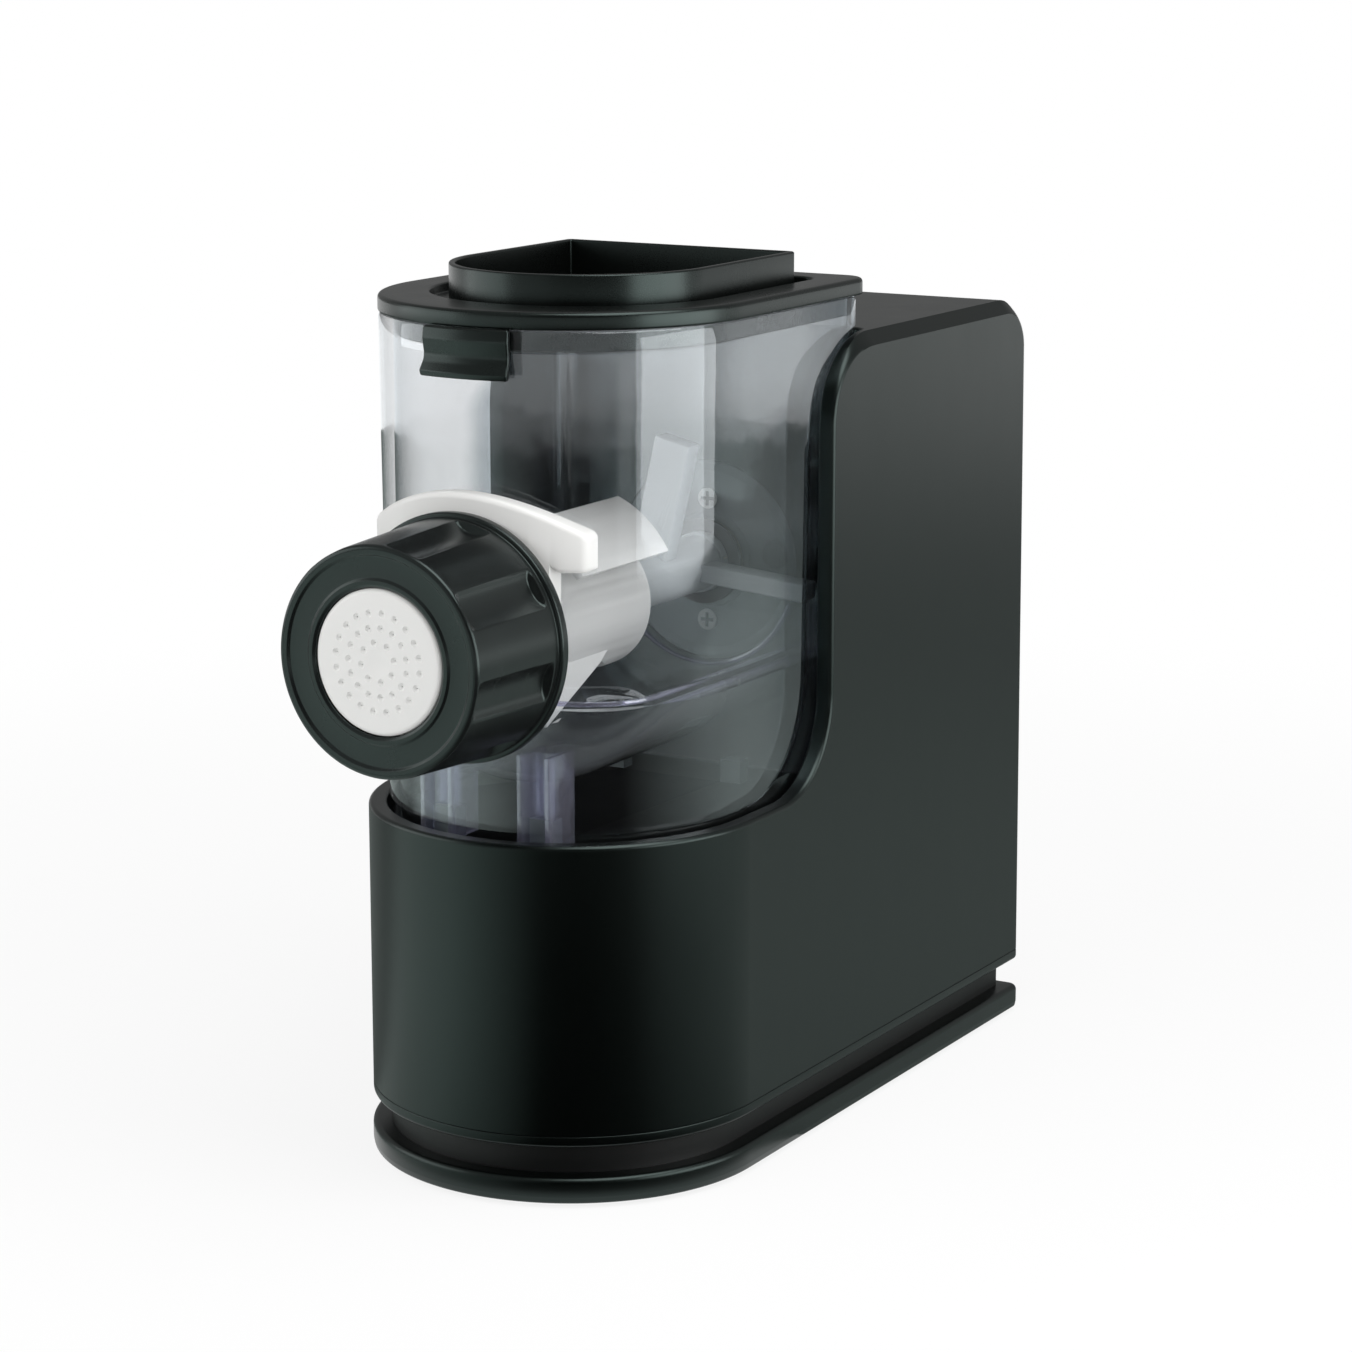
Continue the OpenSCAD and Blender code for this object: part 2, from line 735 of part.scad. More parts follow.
// Curved guards above and below the mouth of the barrel, seated on the bowl wall
module hood() {
    intersection() {
        union() {
            guard(barrel_back - 5, 30);
            // the lower guard keeps clear of the round front of the trough
            intersection() {
                mirror_on_axis() guard(mid_y - 20, 35);
                y_bar(hood_r + 1, trough_front + 0.1, mid_y);
                translate([0, bowl_y, axis_z - 60]) cylinder(r = trough_r - 0.3, h = 60);
            }
            translate([-hood_t / 2, wall_front, axis_z + barrel_r - 2])
                cube([hood_t, 60, hood_r - barrel_r]);
            translate([-hood_t / 2, trough_front + 0.1, axis_z - hood_r + 2])
                cube([hood_t, 22, hood_r - barrel_r]);
        }
        translate([0, bowl_y, axis_z - 60]) cylinder(r = bowl_in - 0.1, h = 120, $fn = 120);
    }
}

// Upper part of a tube, from an angle above the level on both sides
module guard(rear, angle) {
    reach = 60;
    intersection() {
        difference() {
            y_bar(hood_r, wall_front, rear);
            y_bar(hood_r - hood_t, wall_front - 1, rear + 1);
        }
        along_y(wall_front, rear) translate([0, axis_z]) polygon([
            [0, 0],
            [reach, reach * tan(angle)],
            [reach, 2 * reach],
            [-reach, 2 * reach],
            [-reach, reach * tan(angle)]
        ]);
    }
}

module mirror_on_axis() {
    translate([0, 0, 2 * axis_z]) mirror([0, 0, 1]) children();
}

// Fork that straddles the barrel outside the bowl, with a finger ear at each side
module lock_yoke() {
    color("#eeefec") difference() {
        intersection() {
            along_y(nut_back + 0.4, bowl_y - 44) translate([0, axis_z]) yoke_view();
            translate([0, bowl_y, axis_z - 60]) cylinder(r = bowl_r + 7.3, h = 140, $fn = 120);
        }
        translate([0, bowl_y, axis_z - 80]) cylinder(r = bowl_r + 0.5, h = 160, $fn = 120);
        y_bar(barrel_r + 0.3, nut_back - 2, bowl_y);
        translate([-barrel_r - 0.3, nut_back - 2, axis_z - 40]) cube([2 * barrel_r + 0.6, 60, 40]);
    }
}

// Front view of the yoke: two legs, a round crown, and ears with rounded ends
module yoke_view() {
    foot = -8;
    leg_w = 66;
    ear_w = 82;
    ear_z = 26.2;
    ear_h = 5.5;
    end_r = 3;
    crown_r = 29;
    end_x = ear_w / 2 - end_r;
    intersection() {
        translate([0, ear_z - 7.7]) circle(r = crown_r);
        translate([-ear_w / 2, foot]) square([ear_w, 60]);
    }
    translate([-ear_w / 2, ear_z]) square([ear_w, ear_h]);
    translate([-end_x, ear_z - end_r]) square([2 * end_x, ear_h + 2 * end_r]);
    for (side = [-1, 1]) for (z = [ear_z, ear_z + ear_h]) translate([side * end_x, z]) circle(r = end_r);
    translate([-leg_w / 2, foot]) square([leg_w, ear_z - foot + 1.8]);
}

function die_holes() = [
    for (ring = [[8, 6.4], [15, 11.1], [20, 15.9]])
        for (i = [0 : ring[0] - 1])
            [ring[1] * cos(360 / ring[0] * i + 11), ring[1] * sin(360 / ring[0] * i + 11)]
];

module die() {
    color("#f2f2ef") difference() {
        union() {
            y_bar(die_show_r - 0.3, nut_face + 0.5, die_back);
            y_bar(nut_bore_r - 0.4, nut_face + 3.2, die_back);
        }
        y_bar(bore_r - 0.6, nut_face + 5, die_back + 1);
        for (p = die_holes())
            y_bar(die_hole_r, nut_face, nut_face + 6, x = p[0], z = axis_z + p[1]);
    }
}

module die_ring() {
    color("#d8d8d4") difference() {
        y_bar(thread_r - 0.4, die_back, barrel_front);
        y_bar(bore_r + 0.5, die_back - 1, barrel_front + 1);
    }
}

module cap_nut() {
    grips = 8;
    grip_r = 10;
    grip_depth = 0.6;
    flange_t = 4;
    color("#232627") difference() {
        union() {
            translate([0, nut_face, axis_z]) rotate([-90, 0, 0])
                cylinder(r1 = nut_r, r2 = nut_r + 2.2, h = nut_len - flange_t + eps);
            y_bar(nut_flange_r, nut_back - flange_t, nut_back);
        }
        y_bar(die_show_r, nut_face - 1, nut_face + 4);
        y_bar(nut_bore_r, nut_face + 3, nut_back + 1);
        for (i = [0 : grips - 1]) translate([0, nut_face + 3.4, axis_z])
            rotate([0, 360 / grips * i + 14, 0]) translate([nut_r - grip_depth + grip_r, 0, 0])
                rotate([-90, 0, 0]) cylinder(r = grip_r, h = nut_len - 9.4, $fn = 48);
    }
}

module mixing_shaft() {
    color("#eeefec") difference() {
        union() {
            y_bar(mix_shaft_r, barrel_back + 2, face_y - 8.4);
            y_bar(10.9, face_y - 8.5, face_y - 1);
        }
        y_bar(8.1, face_y - 7.2, face_y);
        translate([-10.7, face_y - 7.2, axis_z - 2.7]) cube([21.4, 8, 5.4]);
        y_bar(shaft_r + 0.1, face_y - 8.2, face_y);
    }
}

// One flat arm, from the shaft out to its reach, at a place along Y and an angle from +X
module paddle(y, w, t, angle) {
    translate([0, y, axis_z]) rotate([0, -angle, 0]) difference() {
        translate([mix_shaft_r - 1.5, -t / 2, -w / 2]) cube([paddle_reach - mix_shaft_r + 1.5, t, w]);
        rotate([90, 0, 0]) cylinder(r = mix_shaft_r, h = 60, center = true);
    }
}

module paddles() {
    color("#eeefec") {
        paddle(mid_y + 52, 14, 8, 77);
        paddle(mid_y + 76, 6.5, 10, -5);
        paddle(mid_y + 30, 14, 8, 172);
    }
}

// Screw that pushes the dough through the barrel to the die
module auger() {
    front = die_back + 1;
    rear = barrel_back + 2;
    color("#eeefec") {
        y_bar(8.5, front + 3, rear);
        translate([0, rear - 1, axis_z]) rotate([90, 0, 0]) auger_flight(rear - front - 3);
    }
}

// A wedge swept round the core once for every pitch
module auger_flight(len) {
    half = 360 * auger_t / auger_pitch / 2;
    far = 2 * auger_r;
    twist = -360 * len / auger_pitch;
    linear_extrude(height = len, twist = twist, slices = 84, convexity = 8, $fn = 20) intersection() {
        circle(r = auger_r);
        polygon([[0, 0], [far, -far * tan(half)], [far, far * tan(half)]]);
    }
}

module control_board() {
    color("#3d6b45") translate([board_x, board_y, board_z]) cube([1.6, 54, 52]);
}

module board_parts() {
    x = board_x + 1.6;
    color("#2a2a2a") {
        translate([x, board_y + 5, board_z + 6]) cube([14, 18, 14]);
        translate([x, board_y + 30, board_z + 8]) cube([10, 16, 12]);
        translate([x, board_y + 12, board_z + 34]) rotate([0, 90, 0]) cylinder(r = 6, h = 16);
        translate([x, board_y + 36, board_z + 36]) rotate([0, 90, 0]) cylinder(r = 4, h = 12);
    }
    color("silver") for (y = [3, 51]) for (z = [3, 49])
        translate([wall - half_w, board_y + y, board_z + z])
            rotate([0, 90, 0]) cylinder(r = 2, h = board_x + half_w - wall);
}

module selector_body() {
    x = -half_w + dish_depth + 2;
    color("#303236") difference() {
        translate([x, knob_y - 14, knob_z - 14]) cube([16, 28, 28]);
        translate([x - 1, knob_y, knob_z]) rotate([0, 90, 0]) cylinder(r = 4 + run_fit, h = 12);
    }
}

// Round knob with a grip bar, sunk in its dish
module mode_knob() {
    x = -half_w + dish_depth;
    grip_w = 7;
    color("#3a3d3f") {
        translate([x - 3.4, knob_y, knob_z]) rotate([0, 90, 0]) cylinder(r = knob_r, h = 3);
        translate([-half_w + 0.3, knob_y - grip_w / 2, knob_z - knob_r + 1])
            cube([dish_depth - 3.2, grip_w, 2 * knob_r - 2]);
        translate([x - 1, knob_y, knob_z]) rotate([0, 90, 0]) cylinder(r = 4, h = 11);
    }
}

module lid() {
    color("#232627") difference() {
        union() {
            d_block(lid_r, bowl_y, lid_back, 10, lid_z, lid_top);
            d_block(plug_r, bowl_y, plug_back, 6, lid_z - plug_depth, lid_z + 1);
            lid_knuckle();
        }
        d_block(plug_r - plug_wall, bowl_y, plug_back - plug_wall, 3.6,
            lid_z - plug_depth - 1, lid_z + 1.8);
        // sunken panel round the funnel
        d_block(funnel_r + 6.5, funnel_y - 1, funnel_back + 7.5, 8, lid_top - 2.2, lid_top + 1);
        d_block(funnel_r, funnel_y, funnel_back + 0.1, 2, lid_z - 1, lid_top + 1);
        // notch for the latch
        translate([-latch_w / 2 - 0.5, bowl_y - lid_r - 2, lid_z - 1]) cube([latch_w + 1, 9.3, lid_t]);
        x_bar(latch_pin_r, latch_w + 7, latch_pin_y, latch_pin_z);
        x_bar(pin_r + run_fit, 70, hinge_y, hinge_z);
    }
}

module lid_knuckle() {
    x_bar(4, 34, hinge_y, hinge_z);
    translate([-17, lid_back - 1, lid_z]) cube([34, hinge_y - lid_back + 3, 3.5]);
    translate([-17, hinge_y - 3.6, hinge_z]) cube([34, 6, lid_z + 1 - hinge_z]);
}

// Funnel wall and its floor, which slopes down to the pouring slot at the left
module lid_funnel() {
    r = funnel_r - 0.1;
    t = 2.2;
    color("#1f2223") difference() {
        union() {
            d_block(r, funnel_y, funnel_back, 2, lid_z + 0.4, funnel_top);
            d_block(r + 2.5, funnel_y, funnel_back + 2.5, 4, lid_z + 0.4, lid_z + 1.8);
        }
        difference() {
            d_block(r - t, funnel_y, funnel_back - t, 2, lid_z - 1, funnel_top + 1);
            along_y(mid_y - 50, mid_y + 90) polygon([
                [-60, lid_z], [60, lid_z], [60, lid_z + 10.5], [-26, lid_z + 2.6], [-60, lid_z + 2.6]
            ]);
        }
        translate([-40, funnel_y, lid_z - 1]) cube([9, 50, 8]);
        for (i = [0 : 3]) translate([-24 + i * 12, funnel_y + 16, lid_z - 1]) cube([6, 26, 12]);
    }
}

module lid_gasket() {
    color("#b9bcbe") difference() {
        d_block(bowl_in + 1.6, bowl_y, bowl_back - bowl_wall + 1.6, 8.4, lid_z - 0.4, lid_z);
        d_block(bowl_in - 0.3, bowl_y, bowl_back - bowl_wall - 0.3, 7, lid_z - 1, lid_z + 1);
    }
}

module hinge_pin() {
    color("silver") x_bar(pin_r, 52, hinge_y, hinge_z);
}

module latch_pin() {
    color("silver") x_bar(latch_pin_r, latch_w + 6, latch_pin_y, latch_pin_z);
}

// Curved flap that hooks under the catch of the bowl, with a finger lip at its foot
module lid_latch() {
    shell_in = lid_r + 1;
    shell_out = lid_r + 3.4;
    hook_z = latch_low + 1.6;
    color("#232627") difference() {
        union() {
            intersection() {
                difference() {
                    union() {
                        translate([0, bowl_y, latch_low]) cylinder(r = shell_out, h = 18, $fn = 120);
                        translate([0, bowl_y, latch_low]) cylinder(r = shell_out + 2.8, h = 2.4, $fn = 120);
                    }
                    translate([0, bowl_y, latch_low - 1]) cylinder(r = shell_in, h = 20, $fn = 120);
                }
                translate([-latch_w / 2, bowl_y - 90, latch_low - 1]) cube([latch_w, 60, 20]);
            }
            intersection() {
                difference() {
                    translate([0, bowl_y, hook_z]) cylinder(r = shell_in + 0.5, h = 2.4, $fn = 120);
                    translate([0, bowl_y, hook_z - 1]) cylinder(r = catch_r + 0.15, h = 5, $fn = 120);
                }
                translate([-12, bowl_y - 90, hook_z - 1]) cube([24, 60, 5]);
            }
            translate([-latch_w / 2, bowl_y - lid_r - 2.4, lid_z + 0.4]) cube([latch_w, 6.6, 1.6]);
            x_bar(1.9, latch_w, latch_pin_y, latch_pin_z);
        }
        x_bar(latch_pin_r + run_fit, latch_w + 8, latch_pin_y, latch_pin_z);
    }
}

foot_plate();
rubber_feet();
foot_screws();
base_pan();
base_trim();
main_housing();
well_deck();
drive_cover();
cover_screws();
rear_cover();
rear_screws();
cord_bush();
front_gear_plate();
rear_gear_plate();
gear_bushes();
plate_pillars();
motor_case();
motor_screws();
motor_stator();
control_board();
board_parts();
selector_body();
mode_knob();
mixing_bowl();
shaft_seal();
barrel();
lock_yoke();
die();
die_ring();
cap_nut();
drive_shaft();
output_gear();
drive_dog();
mixing_shaft();
paddles();
auger();
idler_gear();
idler_arbor();
motor_pinion();
motor_arbor();
motor_armature();
motor_fan();
lid();
lid_funnel();
lid_gasket();
lid_latch();
latch_pin();
hinge_pin();
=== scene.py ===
"""Electric pasta maker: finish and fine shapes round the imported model.

Every piece is drawn in millimetres, with y measured from the middle of the round front
and x from the middle plane, and is set into the frame when its mesh is made.
"""
import math

import bmesh
import bpy
import numpy as np
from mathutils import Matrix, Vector


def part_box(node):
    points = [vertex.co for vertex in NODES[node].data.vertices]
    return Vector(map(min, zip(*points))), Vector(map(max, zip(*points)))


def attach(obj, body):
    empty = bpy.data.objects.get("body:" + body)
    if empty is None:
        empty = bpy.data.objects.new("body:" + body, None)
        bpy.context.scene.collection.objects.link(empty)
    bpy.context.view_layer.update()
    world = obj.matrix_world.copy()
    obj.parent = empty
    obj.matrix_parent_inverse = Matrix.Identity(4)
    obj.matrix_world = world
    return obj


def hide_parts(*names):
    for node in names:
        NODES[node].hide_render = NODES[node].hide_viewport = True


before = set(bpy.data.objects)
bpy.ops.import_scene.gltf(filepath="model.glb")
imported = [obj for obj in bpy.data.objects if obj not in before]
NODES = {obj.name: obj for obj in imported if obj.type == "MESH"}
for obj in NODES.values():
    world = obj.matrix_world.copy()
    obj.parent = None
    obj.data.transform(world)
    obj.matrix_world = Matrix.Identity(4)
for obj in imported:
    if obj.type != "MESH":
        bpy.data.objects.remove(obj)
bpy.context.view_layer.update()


# ---- sizes, in millimetres
def box_mm(node):
    """Lowest and highest corner of a node in millimetres."""
    low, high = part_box(node)
    return np.array(low) * 1000, np.array(high) * 1000


house_low, house_high = box_mm("main_housing")
HALF = house_high[0]
MID = house_low[1] + HALF
BACK = house_high[1] - MID
TOP = house_high[2]
SEAM = house_low[2]
RIM = 124.0
CHEEK_T = 6.4
CHEEK_FRONT = 57.0
CHEEK_TOP_R = 31.0
CHEEK_FOOT_R = 33.0
BACK_TOP_R = 18.0
CORNER = 4.0
FACE = box_mm("drive_cover")[0][1] - 0.1 - MID
WALL = 3.0
RING = HALF - CHEEK_T
LEAN = 0.0155
LEAN_FOOT = 28.0
LEAN_START = 100.0
LEAN_RUN = 115.0
DECK_TOP = 117.0
KNOB_Y = BACK - 57.0
KNOB_Z = TOP - 43.0

nut_low, nut_high = box_mm("cap_nut")
AXIS = (nut_low[2] + nut_high[2]) / 2
NUT_FACE = nut_low[1] - MID
NUT_BACK = nut_high[1] - MID
FLANGE_R = nut_high[0]

bowl_low, bowl_high = box_mm("mixing_bowl")
BOWL_R = bowl_high[0]
BOWL_Y = 2.0
BOWL_TOP = bowl_high[2]
BOWL_FOOT = bowl_low[2]
BOWL_TAIL = 62.8
BOWL_BACK = FACE - 0.6
BOWL_WALL = 2.5
BOWL_CORNER = 9.6
WINDOW_FOOT = RIM + 2
WINDOW_R = 40.0
WINDOW_GAP = 8.0
CROWN_GAP = 2.5
SHOULDER = 173.5
TROUGH_LIP = 170.0
TROUGH_R = 54.0
TROUGH_NOSE = 36.0
TROUGH_STEPS = (1.6, 0.5)
BARREL_R = 24.3
RIB_X = 19
EAR_X = 22

lid_low, lid_high = box_mm("lid")
LID_R = lid_high[0]
LID_TOP = lid_high[2]
LID_Z = LID_TOP - 5.8
LID_BACK = 93.9
FUNNEL_R = 45.9
FUNNEL_Y = 10
FUNNEL_BACK = 73.9
FUNNEL_TOP = box_mm("lid_funnel")[1][2]
SIDES = ((-1, "left"), (1, "right"))


# ---- drawing helpers
def smooth_step(x):
    """Zero below 0, one above 1, with level ends between."""
    x = np.clip(x, 0, 1)
    return x * x * (3 - 2 * x)


def leaned(points):
    """The back leans forward: y shrinks with the height, fully at the back and not at the front."""
    points = np.array(points, float)
    share = smooth_step((points[..., 1] - LEAN_START) / LEAN_RUN)
    points[..., 1] -= LEAN * np.maximum(points[..., 2] - LEAN_FOOT, 0) * share
    return points


def rounded(corners, closed=False, steps=8):
    """Points along a line through corners (a, b, radius): each turns along an arc of its radius."""
    places = np.array([c[:2] for c in corners], float)
    out = []
    for i, corner in enumerate(corners):
        here = places[i]
        if len(corner) < 3 or (not closed and i in (0, len(corners) - 1)):
            out.append(here[None])
            continue
        before = places[i - 1] - here
        after = places[(i + 1) % len(corners)] - here
        before /= np.hypot(*before)
        after /= np.hypot(*after)
        half = math.acos(np.clip(before @ after, -1, 1)) / 2
        bisector = before + after
        centre = here + bisector / np.hypot(*bisector) * corner[2] / math.sin(half)
        start = here + before * corner[2] / math.tan(half) - centre
        end = here + after * corner[2] / math.tan(half) - centre
        turn = math.atan2(start[0] * end[1] - start[1] * end[0], start @ end)
        t = np.linspace(0, turn, steps + 1)
        x = start[0] * np.cos(t) - start[1] * np.sin(t)
        y = start[0] * np.sin(t) + start[1] * np.cos(t)
        out.append(centre + np.stack([x, y], 1))
    return np.concatenate(out)


def arc(cx, cy, r, start, end, steps):
    """Points (x, y) on a circle from one angle to another, in degrees."""
    t = np.radians(np.linspace(start, end, steps + 1))
    return np.stack([cx + r * np.cos(t), cy + r * np.sin(t)], 1)


def d_ring(r, cy, back, corner):
    """Closed plan outline: half circle about (0, cy), straight sides, rounded corners at the back."""
    front = arc(0, cy, r, 180, 360, 96)
    right = arc(r - corner, back - corner, corner, 0, 90, 8)
    left = arc(corner - r, back - corner, corner, 90, 180, 8)
    return np.concatenate([front, right, left])


def at_height(ring, z):
    """A plan outline lifted to height z."""
    return np.column_stack([ring, np.full(len(ring), z)])


def at_x(outline, x):
    """A side outline of (y, z) set at x."""
    return np.column_stack([np.full(len(outline), x), outline])


def turned(profile, steps=96):
    """Surface of revolution about the drive axis from a profile of (radius, y)."""
    t = np.linspace(0, 2 * np.pi, steps, endpoint=False)
    r, y = profile[:, 0, None], profile[:, 1, None]
    return np.stack([r * np.cos(t), y + 0 * t, AXIS + r * np.sin(t)], 2)


def new_object(name, data):
    """A new object in the scene, at the origin."""
    made = bpy.data.objects.new(name, data)
    bpy.context.scene.collection.objects.link(made)
    return made


class Surface:
    """Gathers sheets of points into one mesh piece."""

    def __init__(self):
        self.points, self.faces, self.count = [], [], 0

    def sheet(self, grid, round_u=False, round_v=False):
        """Adds a grid of points as quads; round_u joins the last column to the first, round_v the rows."""
        rows, columns = grid.shape[:2]
        index = np.arange(rows * columns).reshape(rows, columns) + self.count
        if round_u:
            index = np.concatenate([index, index[:, :1]], 1)
        if round_v:
            index = np.concatenate([index, index[:1]], 0)
        quads = np.stack([index[:-1, :-1], index[:-1, 1:], index[1:, 1:], index[1:, :-1]], 2).reshape(-1, 4)
        self.points.append(grid.reshape(-1, 3))
        self.faces += quads.tolist()
        self.count += rows * columns
        return self

    def face(self, ring):
        """Adds one flat face with these points as its edge."""
        ring = np.asarray(ring, float)
        self.points.append(ring)
        self.faces.append(list(range(self.count, self.count + len(ring))))
        self.count += len(ring)
        return self

    def loft(self, rings, caps=True, round_v=False):
        """Joins closed rings of equal length in turn, with a flat face at each end."""
        self.sheet(np.stack(rings), round_u=True, round_v=round_v)
        if caps and not round_v:
            self.face(rings[0])
            self.face(rings[-1])
        return self

    def mirrored(self):
        """Adds the same faces on the other side of the middle plane."""
        points = np.concatenate(self.points)
        count = len(points)
        self.points = [points, points * [-1, 1, 1]]
        self.faces += [[i + count for i in face] for face in self.faces]
        self.count = 2 * count
        return self

    def lean(self):
        """Lets the points gathered so far follow the leaning back."""
        self.points = [leaned(part) for part in self.points]
        return self

    def build(self, name, sharp=35.0):
        """Makes the object: points merged, faces outwards, edges sharper than an angle kept crisp."""
        mesh = bpy.data.meshes.new(name)
        points = (np.concatenate(self.points) + [0, MID, 0]) * 0.001
        mesh.from_pydata(points, [], self.faces)
        tidy_mesh(mesh)
        piece = new_object(name, mesh)
        crisp(piece, sharp)
        return piece


def prism(ring, low, high):
    """A plan outline drawn up from one height to another."""
    return Surface().loft([at_height(ring, low), at_height(ring, high)])


def tidy_mesh(mesh, dissolve=None):
    """Merges doubles, drops faces without area and turns the rest outwards.

    dissolve, in degrees, also joins faces that lie in one plane.
    """
    work = bmesh.new()
    work.from_mesh(mesh)
    bmesh.ops.remove_doubles(work, verts=work.verts, dist=2e-6)
    bmesh.ops.dissolve_degenerate(work, edges=work.edges, dist=1e-7)
    if dissolve:
        limit = math.radians(dissolve)
        bmesh.ops.dissolve_limit(work, angle_limit=limit, verts=work.verts, edges=work.edges)
    bmesh.ops.recalc_face_normals(work, faces=work.faces)
    work.to_mesh(mesh)
    work.free()


def crisp(piece, sharp=35.0):
    """Smooth shading with the edges sharper than an angle kept crisp."""
    mesh = piece.data
    mesh.shade_smooth()
    mesh.set_sharp_from_angle(angle=math.radians(sharp))


def settled(piece):
    """Turns a piece's modifiers into its mesh."""
    bpy.context.view_layer.update()
    made = piece.evaluated_get(bpy.context.evaluated_depsgraph_get())
    mesh = bpy.data.meshes.new_from_object(made)
    piece.modifiers.clear()
    piece.data = mesh
    return piece


def cut(piece, *tools, sharp=35.0):
    """Cuts the tools out of a piece, and removes them."""
    for tool in tools:
        change = piece.modifiers.new("cut", "BOOLEAN")
        change.operation = "DIFFERENCE"
        change.solver = "EXACT"
        change.object = tool
    settled(piece)
    for tool in tools:
        bpy.data.objects.remove(tool)
    tidy_mesh(piece.data)
    crisp(piece, sharp)
    return piece


def turned_x(profile):
    """Surface of revolution about the knob axis from a profile of (depth into the left side, radius)."""
    t = np.linspace(0, 2 * np.pi, 72, endpoint=False)
    depth, r = profile[:, 0, None], profile[:, 1, None]
    return np.stack([depth - HALF + 0 * t, KNOB_Y + r * np.cos(t), KNOB_Z + r * np.sin(t)], 2)


def bar_y(r, y0, y1):
    """A round bar along the drive axis, used to cut."""
    return Surface().loft(turned(np.array([[r, y0], [r, y1]], float))).build("tool")


def slab_x(outline, x0, x1):
    """An outline of (y, height over the drive axis) spread from x0 to x1."""
    outline = np.asarray(outline, float) + [0, AXIS]
    return Surface().loft([at_x(outline, x0), at_x(outline, x1)])


def bevelled(piece, width, steps=3, angle=35.0):
    """Rounds the edges of a piece that turn by more than an angle."""
    edge = piece.modifiers.new("round", "BEVEL")
    edge.width = width * 0.001
    edge.segments = steps
    edge.limit_method = "ANGLE"
    edge.angle_limit = math.radians(angle)
    edge.harden_normals = True
    return piece


def evened(piece):
    """Lets large flat faces set the shading at their edges, so that they look flat."""
    even = piece.modifiers.new("even", "WEIGHTED_NORMAL")
    even.keep_sharp = True
    return settled(piece)


def copy_of(node, name, width=None, steps=3):
    """A new piece with a node's shape, its doubles merged, and its edges rounded if a width is given."""
    mesh = NODES[node].data.copy()
    mesh.materials.clear()
    tidy_mesh(mesh, 1.0)
    piece = new_object(name, mesh)
    crisp(piece)
    if width:
        settled(bevelled(piece, width, steps))
    return piece


def dress(piece, material, body, slot, *nodes):
    """Gives a finished piece its material and body, and hides the nodes that it stands for. The record slot
    is not used.
    """
    piece.data.materials.clear()
    piece.data.materials.append(material)
    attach(piece, body)
    if nodes:
        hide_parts(*nodes)
    return piece


# ---- material helpers
CAMERA_RAY, SHADOW_RAY, GLOSSY_RAY, TRANSMISSION_RAY = 0, 1, 3, 6


class Value:
    """A node socket that can be used in sums."""

    def __init__(self, shop, socket):
        self.shop, self.socket = shop, socket

    def _math(self, operation, a, b):
        return self.shop.node("Math", {0: a, 1: b}, operation=operation)[0]

    def __add__(self, other):
        return self._math("ADD", self, other)

    def __sub__(self, other):
        return self._math("SUBTRACT", self, other)

    def __rsub__(self, other):
        return self._math("SUBTRACT", other, self)

    def __mul__(self, other):
        return self._math("MULTIPLY", self, other)

    __radd__ = __add__
    __rmul__ = __mul__

    def clamped(self):
        """Held between 0 and 1."""
        return self.shop.node("Clamp", {"Value": self})[0]


class Shop:
    """Makes the nodes of one material or of the world."""

    def __init__(self, owner):
        self.owner = owner
        owner.use_nodes = True
        self.tree = owner.node_tree
        self.tree.nodes.clear()

    def node(self, kind, inputs=None, **settings):
        """One node: its settings first, then values or links for its sockets. Returns its outputs."""
        made = self.tree.nodes.new("ShaderNode" + kind)
        for key, value in settings.items():
            if key == "stops":
                ramp = made.color_ramp
                while len(ramp.elements) < len(value):
                    ramp.elements.new(0.5)
                for element, (place, colour) in zip(ramp.elements, value):
                    element.position = place
                    element.color = (*colour, 1)
            else:
                setattr(made, key, value)
        for key, value in (inputs or {}).items():
            socket = made.inputs[key]
            if isinstance(value, Value):
                self.tree.links.new(value.socket, socket)
            elif socket.type == "RGBA":
                socket.default_value = (*value, 1)
            else:
                socket.default_value = value
        return [Value(self, out) for out in made.outputs]

    def place(self):
        """Object coordinates."""
        return self.node("TexCoord")[3]

    def noise(self, scale, detail=3.0, roughness=0.5, stretch=None):
        """Fractal noise from 0 to 1; stretch scales the three directions."""
        place = self.place()
        if stretch:
            place = self.node("Mapping", {"Vector": place, "Scale": stretch})[0]
        sockets = {"Vector": place, "Scale": scale, "Detail": detail, "Roughness": roughness}
        return self.node("TexNoise", sockets)[0]

    def rise(self, value, low, high, first=0.0, last=1.0):
        """The first number where the value is below low, the last above high, smooth between."""
        sockets = {"Value": value, "From Min": low, "From Max": high, "To Min": first, "To Max": last}
        return self.node("MapRange", sockets, interpolation_type="SMOOTHSTEP")[0]

    def blend(self, factor, first, second):
        """Mixes two colours."""
        return self.node("Mix", {0: factor, 6: first, 7: second}, data_type="RGBA")[2]

    def bump(self, height, strength, distance):
        """A normal tilted by a height; the distance is in metres."""
        return self.node("Bump", {"Height": height, "Strength": strength, "Distance": distance})[0]

    def mixed(self, factor, first, second):
        """Mixes two shaders."""
        return self.node("MixShader", {0: factor, 1: first, 2: second})[0]

    def principled(self, sockets):
        """The common shader with these sockets set."""
        return self.node("BsdfPrincipled", sockets)[0]

    def surface(self, shader):
        """Ends the material with this shader."""
        self.node("OutputMaterial", {"Surface": shader})
        return self.owner


